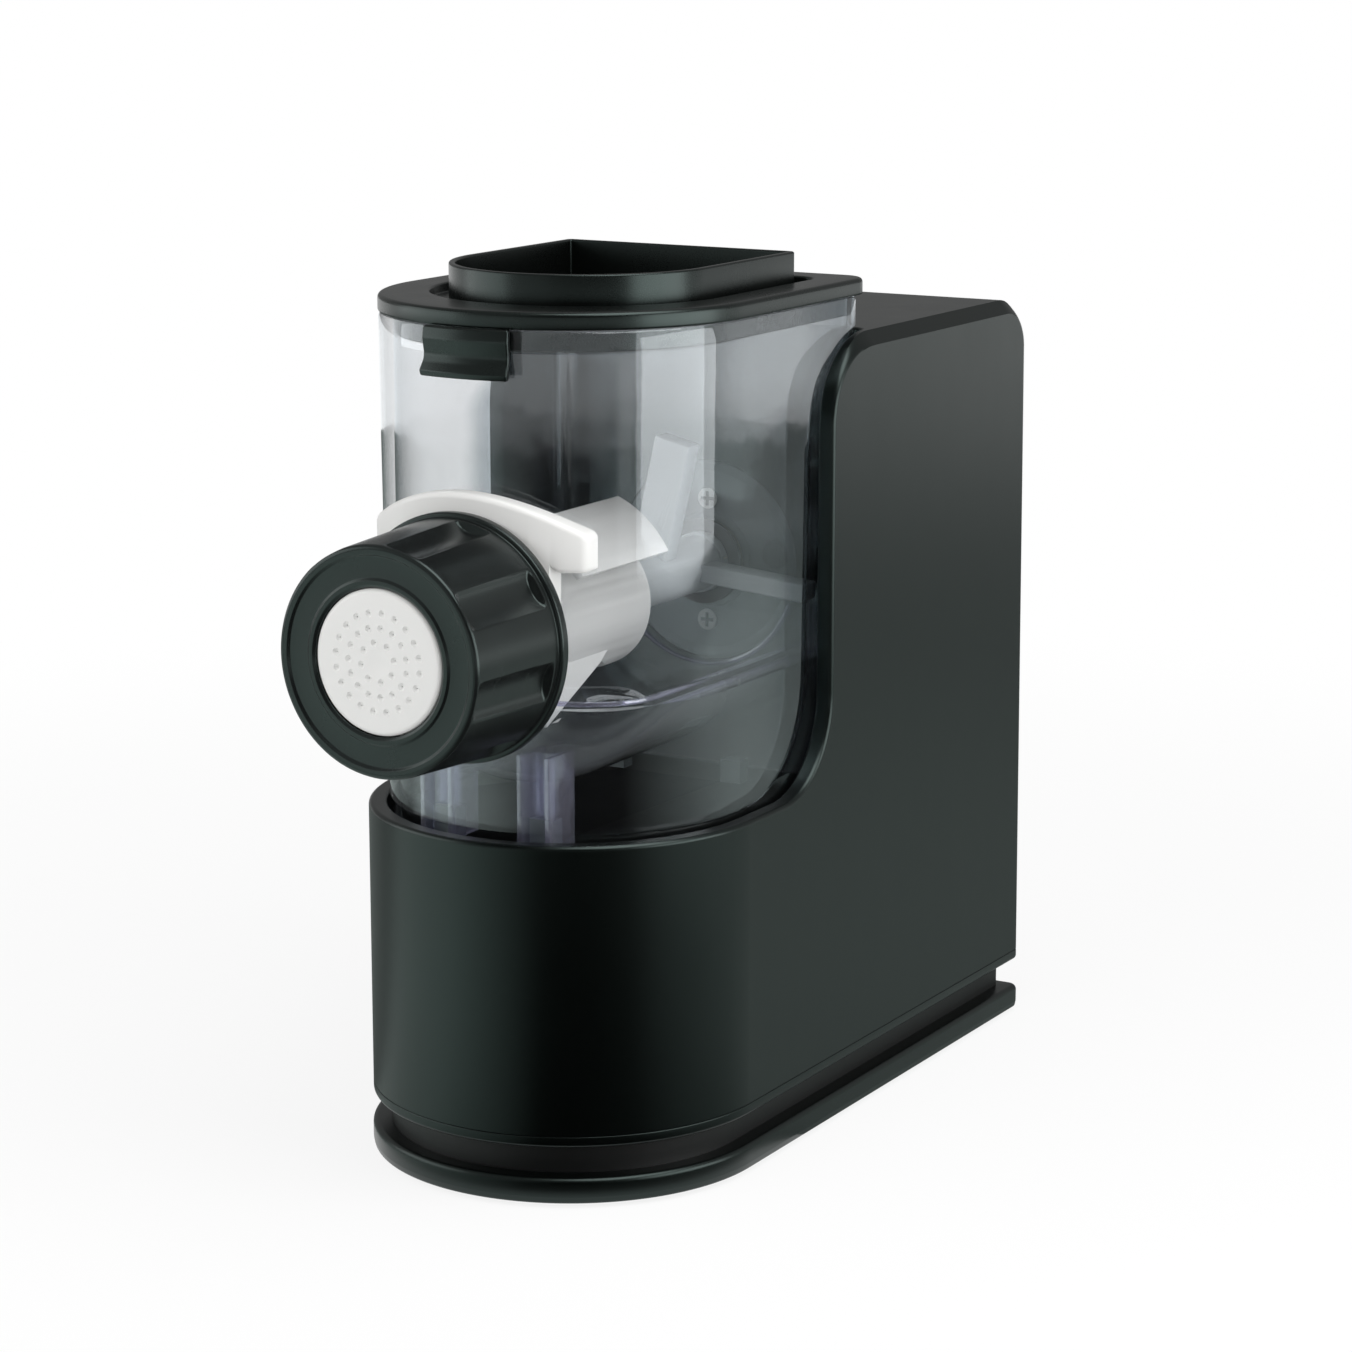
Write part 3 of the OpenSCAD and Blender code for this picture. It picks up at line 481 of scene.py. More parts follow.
def moulded(name, colour, rough, grain=0.05, shade=0.12, grain_scale=2600.0, tint=(1.0, 1.0, 1.0)):
    """Moulded plastic: a fine spark-eroded grain, slow changes of shade, faint wipe marks in its gloss."""
    shop = Shop(bpy.data.materials.new(name))
    slow = shop.noise(24.0, 3.0)
    fine = shop.noise(grain_scale, 2.0, 0.6)
    wipe = shop.noise(60.0, 4.0, 0.55, stretch=(1.0, 1.0, 0.35))
    darker = tuple(c * (1 - shade) for c in colour)
    lighter = tuple(c * (1 + shade) for c in colour)
    wave = 0.06
    return shop.surface(shop.principled({
        "Base Color": shop.blend(slow, darker, lighter),
        "Roughness": (rough - wave / 2 + wipe * wave + (fine - 0.5) * 0.04).clamped(),
        "Specular Tint": tint,
        "Normal": shop.bump(fine, grain, 0.0002),
    }))


def metal(name, colour, rough, along=1.0):
    """Bright metal with fine scratches; along below one draws them out upwards."""
    shop = Shop(bpy.data.materials.new(name))
    scratch = shop.noise(900.0, 3.0, 0.6, stretch=(1.0, 1.0, along))
    cloud = shop.noise(90.0, 3.0)
    return shop.surface(shop.principled({
        "Base Color": shop.blend(cloud, tuple(c * 0.9 for c in colour), colour),
        "Metallic": 1.0,
        "Roughness": (rough - 0.06 + scratch * 0.12).clamped(),
        "Normal": shop.bump(scratch, 0.08, 0.0001),
    }))


def clear(name, tint, haze=(0.74, 0.78, 0.8), facing=0.06, edge=1.6, fog=0.004, band=None, frost=0.0):
    """Clear plastic: tinted light passes, grazing angles mirror more, and a thin haze catches light.

    band gives (start, width, top, drop, share), all but the share in metres, and paints shade: behind the
    start the side walls pass darker light, standing in for the dark housing seen in them, and near the top
    the start lies further back, by up to the drop. frost adds haze below the shoulder, inside the wall.
    """
    shop = Shop(bpy.data.materials.new(name))
    ripple = shop.noise(30.0, 2.0, stretch=(1.0, 1.0, 0.25))
    ripple = ripple + shop.noise(85.0, 1.0, stretch=(1.0, 1.0, 0.7)) * 0.3
    speck = shop.noise(420.0, 3.0)
    normal = shop.bump(ripple, 0.12, 0.0015)
    glance = shop.node("LayerWeight", {"Blend": 0.35, "Normal": normal})[1]
    grazing = glance * glance * glance
    through = shop.node("BsdfTransparent", {"Color": tint})[0]
    x, y, z = shop.node("SeparateXYZ", {0: shop.place()})
    if band:
        start, width, top, drop, share = band
        side = shop.rise(x * x, 0.055 ** 2, 0.061 ** 2)
        wobble = (shop.noise(60.0, 2.0) - 0.5) * 0.006
        crown = shop.rise(z, top - drop, top)
        behind = shop.rise(y + wobble - crown * crown * drop, start, start + width)
        # painted shade: a darker see-through colour for the side walls behind the start
        dim = shop.node("BsdfTransparent", {"Color": (0.45, 0.5, 0.53)})[0]
        through = shop.mixed(side * behind * share, through, dim)
    rough = 0.03 + speck * 0.04
    gloss = shop.principled({
        "Base Color": (0.92, 0.97, 1.0), "Metallic": 1.0, "Roughness": rough, "Normal": normal})
    film = shop.principled({"Base Color": haze, "Roughness": 0.5})
    if frost:
        middle = (MID + BOWL_Y) * 0.001
        ahead = shop.node("Math", {0: y - middle, 1: 0.0}, operation="MINIMUM")[0]
        inside = 1 - shop.rise(x * x + ahead * ahead, 0.058 ** 2, 0.0592 ** 2)
        low = 1 - shop.rise(z, SHOULDER * 0.001, SHOULDER * 0.001 + 0.002)
        fog = fog + inside * low * (grazing * 3.0 + 0.6) * frost
    body = shop.mixed((fog + (speck - 0.5) * fog * 0.9).clamped(), through, film)
    shadow = shop.node("LightPath")[SHADOW_RAY]
    return shop.surface(shop.mixed(((grazing * edge + facing) * (1 - shadow)).clamped(), body, gloss))


TEAL = (0.78, 1.0, 0.95)
black_satin = moulded("black_satin", (0.0006, 0.0008, 0.0007), 0.3, grain=0.04, tint=TEAL)
black_shell = moulded("black_shell", (0.0018, 0.002, 0.0018), 0.28, grain=0.03, tint=TEAL)
black_grip = moulded("black_grip", (0.007, 0.0078, 0.0078), 0.26, grain=0.03, tint=TEAL)
black_dull = moulded("black_dull", (0.0045, 0.005, 0.005), 0.5, grain=0.12)
deck_grey = moulded("deck_grey", (0.15, 0.175, 0.175), 0.3, grain=0.06)
white_gloss = moulded("white_gloss", (0.78, 0.78, 0.765), 0.34, grain=0.03, shade=0.015, grain_scale=1800.0)
# painted shade: the white plastic made grey for the parts inside the bowl and barrel, which lie in shade
white_painted_shade = moulded("white_painted_shade", (0.5, 0.53, 0.54), 0.42, grain=0.03, shade=0.02)
cover_grey = moulded("cover_grey", (0.16, 0.18, 0.19), 0.4, grain=0.06, shade=0.05)
seal_grey = moulded("seal_grey", (0.09, 0.09, 0.095), 0.5, grain=0.08)
gasket_grey = moulded("gasket_grey", (0.3, 0.31, 0.33), 0.5, grain=0.08)
gear_white = moulded("gear_white", (0.72, 0.69, 0.6), 0.4, grain=0.05, shade=0.03)
rubber = moulded("rubber_black", (0.012, 0.012, 0.012), 0.75, grain=0.2)
board_green = moulded("board_green", (0.04, 0.14, 0.06), 0.4, grain=0.1, shade=0.2, grain_scale=900.0)
part_dark = moulded("part_dark", (0.03, 0.03, 0.035), 0.4, grain=0.1)
winding_red = moulded("winding_red", (0.2, 0.08, 0.03), 0.35, grain=0.4, grain_scale=1200.0)
screw_steel = metal("screw_steel", (0.62, 0.62, 0.6), 0.32)
screw_zinc = moulded("screw_zinc", (0.82, 0.82, 0.79), 0.4, grain=0.1, shade=0.05)
plate_steel = metal("plate_steel", (0.55, 0.56, 0.57), 0.35, along=0.05)
shaft_steel = metal("shaft_steel", (0.6, 0.6, 0.6), 0.22)
bush_brass = metal("bush_brass", (0.6, 0.42, 0.2), 0.35)
# painted shade on the bowl's side walls, standing in for the dark housing seen in them
side_painted_shade = ((MID + 30) * 0.001, 0.014, 0.268, 0.026, 0.6)
clear_bowl = clear("clear_bowl", (0.962, 0.967, 0.972), band=side_painted_shade, frost=0.09)
# painted shade: the purple, darker see-through colour stands in for internal reflection in thick clear edges
clear_edge_painted_shade = clear("clear_edge_painted_shade", (0.82, 0.80, 0.93), haze=(0.8, 0.8, 0.9), facing=0.16, edge=0.9, fog=0.1)


# ---- housing
def housing():
    """Right half of the shell, mirrored: a point is a place (s, z) on the unrolled wall and a depth into it.

    The edge line runs along the rim, up the cheek, over the tower and down the back. An edge band follows
    it: a quarter ellipse that turns into a flat bevel over the tower. Flat faces fill the rest.
    """
    start = -HALF * math.pi / 2
    rim = np.column_stack([np.linspace(start, CHEEK_FRONT - CHEEK_FOOT_R, 61), np.full(61, RIM)])
    foot_mid = [CHEEK_FRONT - CHEEK_FOOT_R, RIM + CHEEK_FOOT_R]
    crown_mid = [CHEEK_FRONT + CHEEK_TOP_R, TOP - CHEEK_TOP_R]
    tail_mid = [BACK - BACK_TOP_R, TOP - BACK_TOP_R]
    foot = arc(*foot_mid, CHEEK_FOOT_R, -90, 0, 20)
    crown = arc(*crown_mid, CHEEK_TOP_R, 180, 90, 24)
    tail = arc(*tail_mid, BACK_TOP_R, 90, 0, 14)
    line = np.concatenate([rim, foot[1:], crown, tail, [[BACK, SEAM]]])
    up = np.concatenate([
        np.tile([0.0, 1.0], (len(rim), 1)),
        (foot_mid - foot[1:]) / CHEEK_FOOT_R,
        (crown - crown_mid) / CHEEK_TOP_R,
        (tail - tail_mid) / BACK_TOP_R,
        [[1.0, 0.0]],
    ])
    crown_end = len(rim) + len(foot) - 1 + len(crown) - 1
    past = np.arange(len(line)) - crown_end
    turn_in = len(crown) * 0.7
    over = smooth_step((past + turn_in) / turn_in)
    behind = smooth_step((past - 1) / len(tail))
    # how far the band reaches down the wall and into it: at the rim, over the tower, at the back
    drop = 1.6 + 3.2 * over + (CORNER - 4.8) * behind
    inset = 1.6 + 2.2 * over + (CORNER - 3.8) * behind
    flat = (over * (1 - behind))[:, None]

    def wall(line_part, depth):
        """Unrolled place and depth to space: an arc round the front, straight along the side."""
        s, z = line_part[..., 0] - start, line_part[..., 1]
        turn = np.minimum(s / HALF, math.pi / 2)
        x = (HALF - depth) * np.sin(turn)
        y = -(HALF - depth) * np.cos(turn) + np.maximum(s + start, 0)
        return np.stack([x, y, z], -1)

    quarter = np.radians(np.linspace(0, 90, 7))
    share = np.linspace(0, 1, 7)
    down = drop[:, None] * ((1 - flat) * (1 - np.sin(quarter)) + flat * (1 - share))
    depth = inset[:, None] * ((1 - flat) * (1 - np.cos(quarter)) + flat * share)
    outer = wall(line[:, None] - up[:, None] * down[..., None], depth)

    inner_r = 1.3
    ledge = crown_end + 1
    down_in = np.tile(inner_r * (1 - np.cos(quarter)), (ledge, 1))
    depth_in = np.tile(CHEEK_T - inner_r * (1 - np.sin(quarter)), (ledge, 1))
    inner = wall(line[:ledge, None] - up[:ledge, None] * down_in[..., None], depth_in)

    shell = Surface()
    shell.sheet(outer)
    shell.sheet(np.concatenate([outer[:ledge, -1:], inner], 1))
    straight = int(np.argmin(np.abs(rim[:, 0])))
    foot_line = outer[: straight + 1, 0] * [1, 1, 0] + [0, 0, SEAM]
    shell.sheet(np.stack([foot_line, outer[: straight + 1, 0]]))
    shell.face(np.concatenate([foot_line[-1:], outer[straight:, 0]]))
    well_line = inner[: straight + 1, -1] * [1, 1, 0] + [0, 0, DECK_TOP]
    shell.sheet(np.stack([well_line, inner[: straight + 1, -1]]))
    edge_y = inner[-1, -1, 1]
    shell.face(np.concatenate([well_line[-1:], inner[straight:, -1], [[RING, edge_y, DECK_TOP]]]))

    recess_r = FACE - edge_y
    swing = np.radians(np.linspace(0, 90, 9))[:, None]
    away = np.concatenate([[0.0], inner_r * (1 - np.sin(quarter[::-1]))])
    rise = np.concatenate([[DECK_TOP], TOP - inner_r * (1 - np.cos(quarter[::-1]))])
    radius = recess_r + away
    corner_x = RING - recess_r
    corner = np.stack([
        corner_x + radius * np.cos(swing), edge_y + radius * np.sin(swing), rise + 0 * swing], -1)
    shell.sheet(corner)
    middle = corner[-1] * [0, 1, 1]
    shell.sheet(np.stack([corner[-1], middle]))
    ridge = outer[ledge:, -1]
    shell.face(np.concatenate([
        outer[ledge - 1 : ledge + 1, -1], ridge[:1] * [0, 1, 1], middle[-1:], corner[::-1, -1]]))
    shell.sheet(np.stack([ridge, ridge * [0, 1, 1]], 1))
    shell.face(np.concatenate([foot_line, outer[-1], outer[-1, -1:] * [0, 1, 1]]))
    shell.face(np.concatenate([well_line, corner[:, 0], middle[:1]]))
    return shell.mirrored().lean().build("housing_shell", 30)


def hollow_housing():
    """The shell with its hollow, the seat of the drive cover, the back opening and the selector hole."""
    shell = housing()
    front, back, top = FACE + WALL, BACK - WALL, TOP - WALL
    lower = prism(d_ring(HALF - WALL, 0, back, 3.3), SEAM - 5, 110).lean().build("tool")
    side = rounded([(front, 100), (front, top), (back, top, 15), (back, 100)])
    x = HALF - WALL - 1
    upper = Surface().loft([at_x(side, -x), at_x(side, x)]).lean().build("tool")
    low, high = box_mm("rear_cover")
    inner, outer = BACK - 9, BACK + 3
    opening = np.array([[low[0], inner], [high[0], inner], [high[0], outer], [low[0], outer]]) * [1.006, 1]
    gap = prism(opening, low[2] - 0.3, high[2] + 0.3).lean().build("tool")
    hole = Surface().loft(turned_x(np.array([[-2.0, 22.6], [8.0, 22.6]]))).build("tool")
    seat = bar_y(36.4, FACE - 1, FACE + 1.5)
    bore = bar_y(20, FACE - 1, FACE + WALL + 2)
    return cut(shell, lower, upper, gap, hole, seat, bore, sharp=30)


shell = evened(hollow_housing())
dress(shell, black_satin, "housing", "black_gloss", "main_housing")


def selector_cup():
    """Round dish for the selector knob: a profile of (depth, radius) turned about the knob axis."""
    profile = rounded([
        (3.4, 23.6), (3.4, 22.4), (0.05, 22.4, 0.5), (0.05, 21.0, 0.8), (9.0, 21.0, 1.6), (9.0, 4.05, 0.3),
        (10.4, 4.05), (10.4, 23.6, 2.0)], steps=5, closed=True)
    cup = Surface().sheet(turned_x(profile), round_u=True, round_v=True).build("selector_cup")
    dress(cup, black_satin, "housing", "black_gloss")


def drive_disc():
    """Round cover behind the bowl: a flat face with a raised sloping rim, turned about the drive axis."""
    profile = rounded([
        (14.2, FACE + 1.5), (14.2, FACE + 0.5, 0.3), (17.0, FACE + 0.5, 0.3), (17.6, FACE + 0.95, 0.3),
        (32.2, FACE + 0.95, 0.4), (34.8, FACE + 0.1, 0.4), (36.0, FACE + 0.1, 0.3), (36.0, FACE + 1.5),
    ], steps=4, closed=True)
    disc = Surface().sheet(turned(profile), round_u=True, round_v=True).build("drive_disc", 25)
    dress(disc, cover_grey, "housing", "drive_cover", "drive_cover")
    cap = rounded([(0.01, FACE - 0.25), (4.6, FACE - 0.25, 0.5), (5.6, FACE + 0.96)], steps=4)
    cap = turned(cap, 48) + [27, 0, 4]
    cap = Surface().sheet(cap, round_u=True).face(cap[-1]).build("sensor_cap")
    dress(cap, seal_grey, "housing", "seal")
    low, high = box_mm("cover_screws")
    front, reach = low[1] - MID, (high[2] - low[2]) / 2 - high[0]
    y0, y1 = front - 0.06, front + 0.5
    # painted shade: dark bars standing proud of the screw heads stand in for the shade in their cross
    # recesses
    slots = Surface()
    for z in (reach, -reach):
        for a, b in ((2.6, 0.6), (0.6, 2.6)):
            outline = np.array([(y0, z - b), (y1, z - b), (y1, z + b), (y0, z + b)]) + [0, AXIS]
            slots.loft([at_x(outline, -a), at_x(outline, a)])
    dress(slots.build("screw_crosses_painted_shade"), part_dark, "housing", "screw_steel")


def leaning_back():
    """Rear cover and its screws, moved with the lean of the back."""
    for node, name, width, material, slot in (
        ("rear_cover", "rear_cover_leaning", 0.5, black_satin, "black_gloss"),
        ("rear_screws", "rear_screws_leaning", None, screw_steel, "screw_steel"),
    ):
        piece = copy_of(node, name, width, 2)
        mesh = piece.data
        points = np.empty(len(mesh.vertices) * 3)
        mesh.vertices.foreach_get("co", points)
        points = points.reshape(-1, 3) * 1000 - [0, MID, 0]
        points = (leaned(points) + [0, MID, 0]) * 0.001
        mesh.vertices.foreach_set("co", points.ravel())
        mesh.update()
        crisp(piece, 30)
        dress(evened(piece), material, "housing", slot, node)


selector_cup()
drive_disc()
leaning_back()


def foot_and_trim():
    """Foot plate and trim ring: plan outlines lofted up a rounded edge."""
    def rings(r, edge):
        """Plan outlines along an edge profile of (inset, z)."""
        return [at_height(d_ring(r - inset, 0, BACK - inset, max(CORNER - inset, 1.0)), z)
                for inset, z in edge]

    low, high = box_mm("foot_plate")
    foot, top = low[2], high[2]
    edge = rounded([(6, foot), (0.5, foot, 1.2), (0, foot + 2.5, 2.0), (0, top, 2.0), (9, top)], steps=8)
    plate = Surface().loft(rings(high[0], edge)).build("foot_plate_rounded")
    dress(plate, black_satin, "housing", "black_gloss", "foot_plate")
    low, high = box_mm("base_trim")
    edge = rounded([(3, low[2]), (0, low[2], 1.4), (0, high[2], 0.4), (3, high[2])], steps=5, closed=True)
    trim = Surface().loft(rings(HALF, edge), round_v=True).build("trim_ring")
    dress(trim, black_satin, "housing", "black_gloss", "base_trim")


foot_and_trim()


# ---- clear bowl
def window_edge():
    """Back edge of the bowl's wide front: (y, z) round its lower corner, up, and back over the cheek."""
    edge = CHEEK_FRONT - WINDOW_GAP
    low = arc(edge - WINDOW_R, WINDOW_FOOT + WINDOW_R, WINDOW_R, -90, 0, 12)
    turn = np.radians(np.linspace(180, 90, 15))
    crown = CHEEK_TOP_R + WINDOW_GAP
    y = edge + crown + crown * np.cos(turn)
    z = TOP + CROWN_GAP - crown + crown * np.sin(turn)
    return np.concatenate([low, np.column_stack([y, z])])


def half_wall(r, corner, ends, z, proud, back):
    """Rows of a D-plan wall from the front middle along one side and round its back corner.

    ends gives, for each row, where its wide part stops along the side; proud gives how far it stands out at
    a height. The columns crowd about that place, so that the step stays crisp.
    """
    start = r * math.pi / 2
    stop = back - BOWL_Y - corner
    ends = np.minimum(ends - BOWL_Y, stop - 1.3)[:, None] + start
    ahead = np.linspace(0, 1, 39) ** 0.9 * (ends - 0.7)
    across_step = ends + np.linspace(-0.7, 0.7, 5)[None, 1:]
    after = ends + 0.7 + np.linspace(0, 1, 5)[None, 1:] * (start + stop - ends - 0.7)
    s = np.concatenate([ahead, across_step, after], 1)
    step = np.concatenate([np.ones(39), 1 - smooth_step(np.arange(1, 5) / 4), np.zeros(4)])
    out = proud(z)[:, None] * step[None, :]
    turn = np.minimum(s / r, math.pi / 2)
    x = (r + out) * np.sin(turn)
    y = BOWL_Y - (r + out) * np.cos(turn) + np.maximum(s - start, 0)
    side = np.stack([x, y, z[:, None] + 0 * s], -1)
    swing = np.radians(np.linspace(0, 90, 8))[None, 1:]
    bend = np.stack([
        r - corner + corner * np.cos(swing) + 0 * z[:, None],
        back - corner + corner * np.sin(swing) + 0 * z[:, None],
        z[:, None] + 0 * swing,
    ], -1)
    return np.concatenate([side, bend], 1)


def inner_wall(*heights):
    """Rows of the bowl's plain inner wall at these heights."""
    z = np.array(heights)
    return half_wall(BOWL_TAIL - BOWL_WALL, BOWL_CORNER - BOWL_WALL, np.full(len(z), 40.0), z,
                     lambda z: 0 * z, BOWL_BACK - BOWL_WALL)


def trough(wall_row, grow, lip, steps):
    """Rows from the wall row above down into the trough, one column under each of its points.

    At a place y the trough has a radius about the drive axis, drawn in at the front by a cubic nose curve;
    grow adds to both. Two rows, the steps above the lip, ease the shoulder into it.
    """
    r, nose = TROUGH_R + grow, TROUGH_NOSE + grow
    nose_start = -20.0
    drop = AXIS - lip
    front = nose_start - nose * (1 - (drop / r) ** 3) ** (1 / 3)
    wall_y = wall_row[:, 1]
    span = (wall_y - wall_y[0]) / (wall_y[-1] - wall_y[0])
    y = front + span * (wall_y[-1] - front)
    tip = np.clip((nose_start - y) / nose, 0, 1)
    radius = np.maximum(r * (1 - tip ** 3) ** (1 / 3), drop)
    lip_angle = np.arcsin(drop / radius)
    angle = lip_angle[None, :] + np.linspace(0, 1, 22)[:, None] * (math.pi / 2 - lip_angle[None, :])
    well = np.stack([radius * np.cos(angle), y[None, :] + 0 * angle, AXIS - radius * np.sin(angle)], -1)
    ease = np.array([0.35, 0.8])[:, None, None]
    shoulder = wall_row[None] * (1 - ease) + well[:1] * ease
    shoulder[..., 2] = lip + np.array(steps)[:, None]
    return np.concatenate([shoulder, well], 0)


def bowl_half():
    """Outer wall with its wide front, rim, inner wall, shoulder and trough, as sheets of one half."""
    edge = window_edge()
    edge_foot = WINDOW_FOOT - 0.8
    rows = np.concatenate([
        [BOWL_FOOT, edge_foot], edge[:, 1], [edge[-1, 1] + 0.6, BOWL_TOP - 0.8, BOWL_TOP]])
    ends = np.concatenate([[edge[0, 0]] * 2, edge[:, 0], [BOWL_BACK] * 3])

    def proud(z):
        """The wide front stands out by 0.9 mm at its foot and flares by 1.5 mm; the rim is drawn in."""
        flare = smooth_step((z - WINDOW_FOOT + 0.8) / 0.8) * (0.9 + (z - WINDOW_FOOT) / 165 * 1.5)
        return flare - np.where(z > BOWL_TOP - 0.1, 0.6, 0)

    outer = half_wall(BOWL_TAIL, BOWL_CORNER, ends, rows, proud, BOWL_BACK)
    plain = inner_wall(BOWL_TOP, SHOULDER + 2, SHOULDER)
    mouth = trough(plain[-1], 0, TROUGH_LIP, TROUGH_STEPS)
    skirt = inner_wall(BOWL_FOOT, TROUGH_LIP - BOWL_WALL)
    under = trough(skirt[-1], BOWL_WALL, TROUGH_LIP - BOWL_WALL, (0, 0))
    body = Surface().sheet(outer)
    body.sheet(np.stack([outer[-1], plain[0]])).sheet(plain).sheet(np.concatenate([plain[-1:], mouth]))
    body.sheet(np.stack([outer[0], skirt[0]])).sheet(skirt).sheet(np.concatenate([skirt[-1:], under]))
    wall_in = BOWL_BACK - BOWL_WALL
    top_in, foot_in = [0, wall_in, BOWL_TOP], [0, wall_in, BOWL_FOOT]
    top_out, foot_out = [0, BOWL_BACK, BOWL_TOP], [0, BOWL_BACK, BOWL_FOOT]
    body.face(np.concatenate([plain[:, -1], mouth[:, -1], [top_in]]))
    body.face(np.concatenate([skirt[:, -1], under[:, -1], [foot_in]]))
    body.face(np.concatenate([outer[:, -1], [top_out, foot_out]]))
    body.face([outer[-1, -1], plain[0, -1], top_in, top_out])
    body.face([outer[0, -1], skirt[0, -1], foot_in, foot_out])
    return body.mirrored()


def bowl():
    """The clear bowl with the openings for barrel and shaft, its rim lugs and its H ribs."""
    def dress_edge(piece):
        """Clear plastic seen edge on, with painted shade: its purple tint stands in for internal reflection
        in thick edges.
        """
        dress(piece, clear_edge_painted_shade, "housing", "clear_bowl")

    body = bowl_half().build("bowl_shell", 40)
    cut(body, bar_y(BARREL_R, BOWL_Y - 75, BOWL_Y - 45), bar_y(13, BOWL_BACK - 6, BOWL_BACK + 2), sharp=40)
    dress(body, clear_bowl, "housing", "clear_bowl", "mixing_bowl")
    turn = np.radians(np.arange(0, 360, 45))
    out, up = 0.9 * np.cos(turn), 0.9 * np.sin(turn)
    t = np.radians(np.linspace(200, 340, 43))[:, None]
    r = 37.6 + out
    back_y = BOWL_BACK - BOWL_WALL - 0.4
    arch = np.stack([r * np.cos(t), back_y + up + 0 * t, AXIS + r * np.sin(t)], -1)
    dress_edge(Surface().loft(arch).build("trough_back_arc"))
    lip = trough(inner_wall(SHOULDER)[0], 0, TROUGH_LIP, TROUGH_STEPS)[2, 3:-2]
    for side, hand in SIDES:
        line = lip * [side, 1, 1]
        along = np.gradient(line, axis=0)
        across = np.stack([-along[:, 1], along[:, 0]], 1) / np.hypot(along[:, 0], along[:, 1])[:, None]
        rail = [np.column_stack([p[0] + out * n[0], p[1] + out * n[1], p[2] - 0.6 + up])
                for p, n in zip(line, across)]
        dress_edge(Surface().loft(rail).build("trough_edge_" + hand))
    y0, y1 = BOWL_Y - 58, BOWL_Y - 42
    for side, hand in SIDES:
        x = side * RIB_X
        xa, xb, xc, xd = x - 6.4, x - 4.4, x + 4.4, x + 6.4
        ring = rounded([
            (xa, y0, 0.4), (xb, y0, 0.4), (xb, y0 + 7), (xc, y0 + 7), (xc, y0, 0.4), (xd, y0, 0.4),
            (xd, y1, 0.4), (xc, y1, 0.4), (xc, y0 + 9), (xb, y0 + 9), (xb, y1, 0.4), (xa, y1, 0.4),
        ], steps=3, closed=True)
        dress_edge(prism(ring, BOWL_FOOT + 2, BOWL_FOOT + 34).build("guide_rib_" + hand))
    dress(copy_of("hinge_pin", "hinge_pin_steel"), shaft_steel, "housing", "shaft_steel", "hinge_pin")
    y0, y1 = BOWL_BACK - 0.5, bowl_high[1] - MID
    for side, hand in SIDES:
        x0, x1 = side * EAR_X - 4, side * EAR_X + 4
        ring = rounded([(x0, y0), (x1, y0), (x1, y1, 1.5), (x0, y1, 1.5)], steps=4, closed=True)
        dress_edge(bevelled(prism(ring, BOWL_TOP - 7, BOWL_TOP).build("hinge_ear_" + hand), 0.6))


bowl()


# ---- lid, funnel and latch
def lid():
    """Lid plate with a rounded rim, a moat round the funnel and a skirt that hangs inside the bowl."""
    skirt_r = BOWL_TAIL - BOWL_WALL - 0.5
    skirt_back = BOWL_BACK - BOWL_WALL - 1.2
    foot = lid_low[2]

    def ring(r, cy, back, corner, z):
        """A D outline at a height."""
        return at_height(d_ring(r, cy, back, corner), z)

    hole_back, moat_z = 74, LID_TOP - 3.2
    skirt = ((2.5, 4.6, LID_Z), (2.5, 4.6, foot + 0.5), (2, 5, foot), (0.6, 6.2, foot),
             (0, 6.6, foot + 0.6), (0, 6.6, LID_Z))
    rings = [ring(FUNNEL_R, FUNNEL_Y, hole_back, 2, LID_Z)]
    rings += [ring(skirt_r - inset, BOWL_Y, skirt_back - inset, corner, z) for inset, corner, z in skirt]
    edge = rounded([(2, LID_Z), (0, LID_Z, 0.8), (0, LID_TOP, 1.6), (6, LID_TOP)], steps=6)
    rings += [ring(LID_R - inset, BOWL_Y, LID_BACK - inset, 10 - inset, z) for inset, z in edge]
    moat = rounded([(-3, LID_TOP), (0, LID_TOP, 0.9), (0.6, moat_z, 0.6), (4, moat_z)], steps=5)
    rings += [ring(FUNNEL_R + 6 - inset, 9, 81 - inset, 8 - inset, z) for inset, z in moat]
    rings += [ring(FUNNEL_R, FUNNEL_Y, hole_back, 2, moat_z)]
    plate = Surface().loft(rings, round_v=True).build("lid_plate", 40)
    dress(plate, black_shell, "lid", "black_gloss", "lid")


def lid_knuckle():
    """Hinge knuckle behind the lid: a rounded bar round the pin, joined to the plate."""
    low, high = box_mm("hinge_pin")
    y, z = (low[1] + high[1]) / 2 - MID, (low[2] + high[2]) / 2
    ring = rounded([
        (LID_BACK - 3, LID_Z + 0.4), (y - 3.6, LID_Z - 0.6), (y - 4, z - 4, 3.9), (y + 4, z - 4, 3.9),
        (y + 4, LID_TOP - 2.4, 3.2), (LID_BACK - 3, LID_TOP - 2.4)], steps=8, closed=True)
    knuckle = Surface().loft([at_x(ring, -17), at_x(ring, 17)]).build("lid_hinge_knuckle")
    dress(bevelled(knuckle, 0.5), black_shell, "lid", "black_gloss")


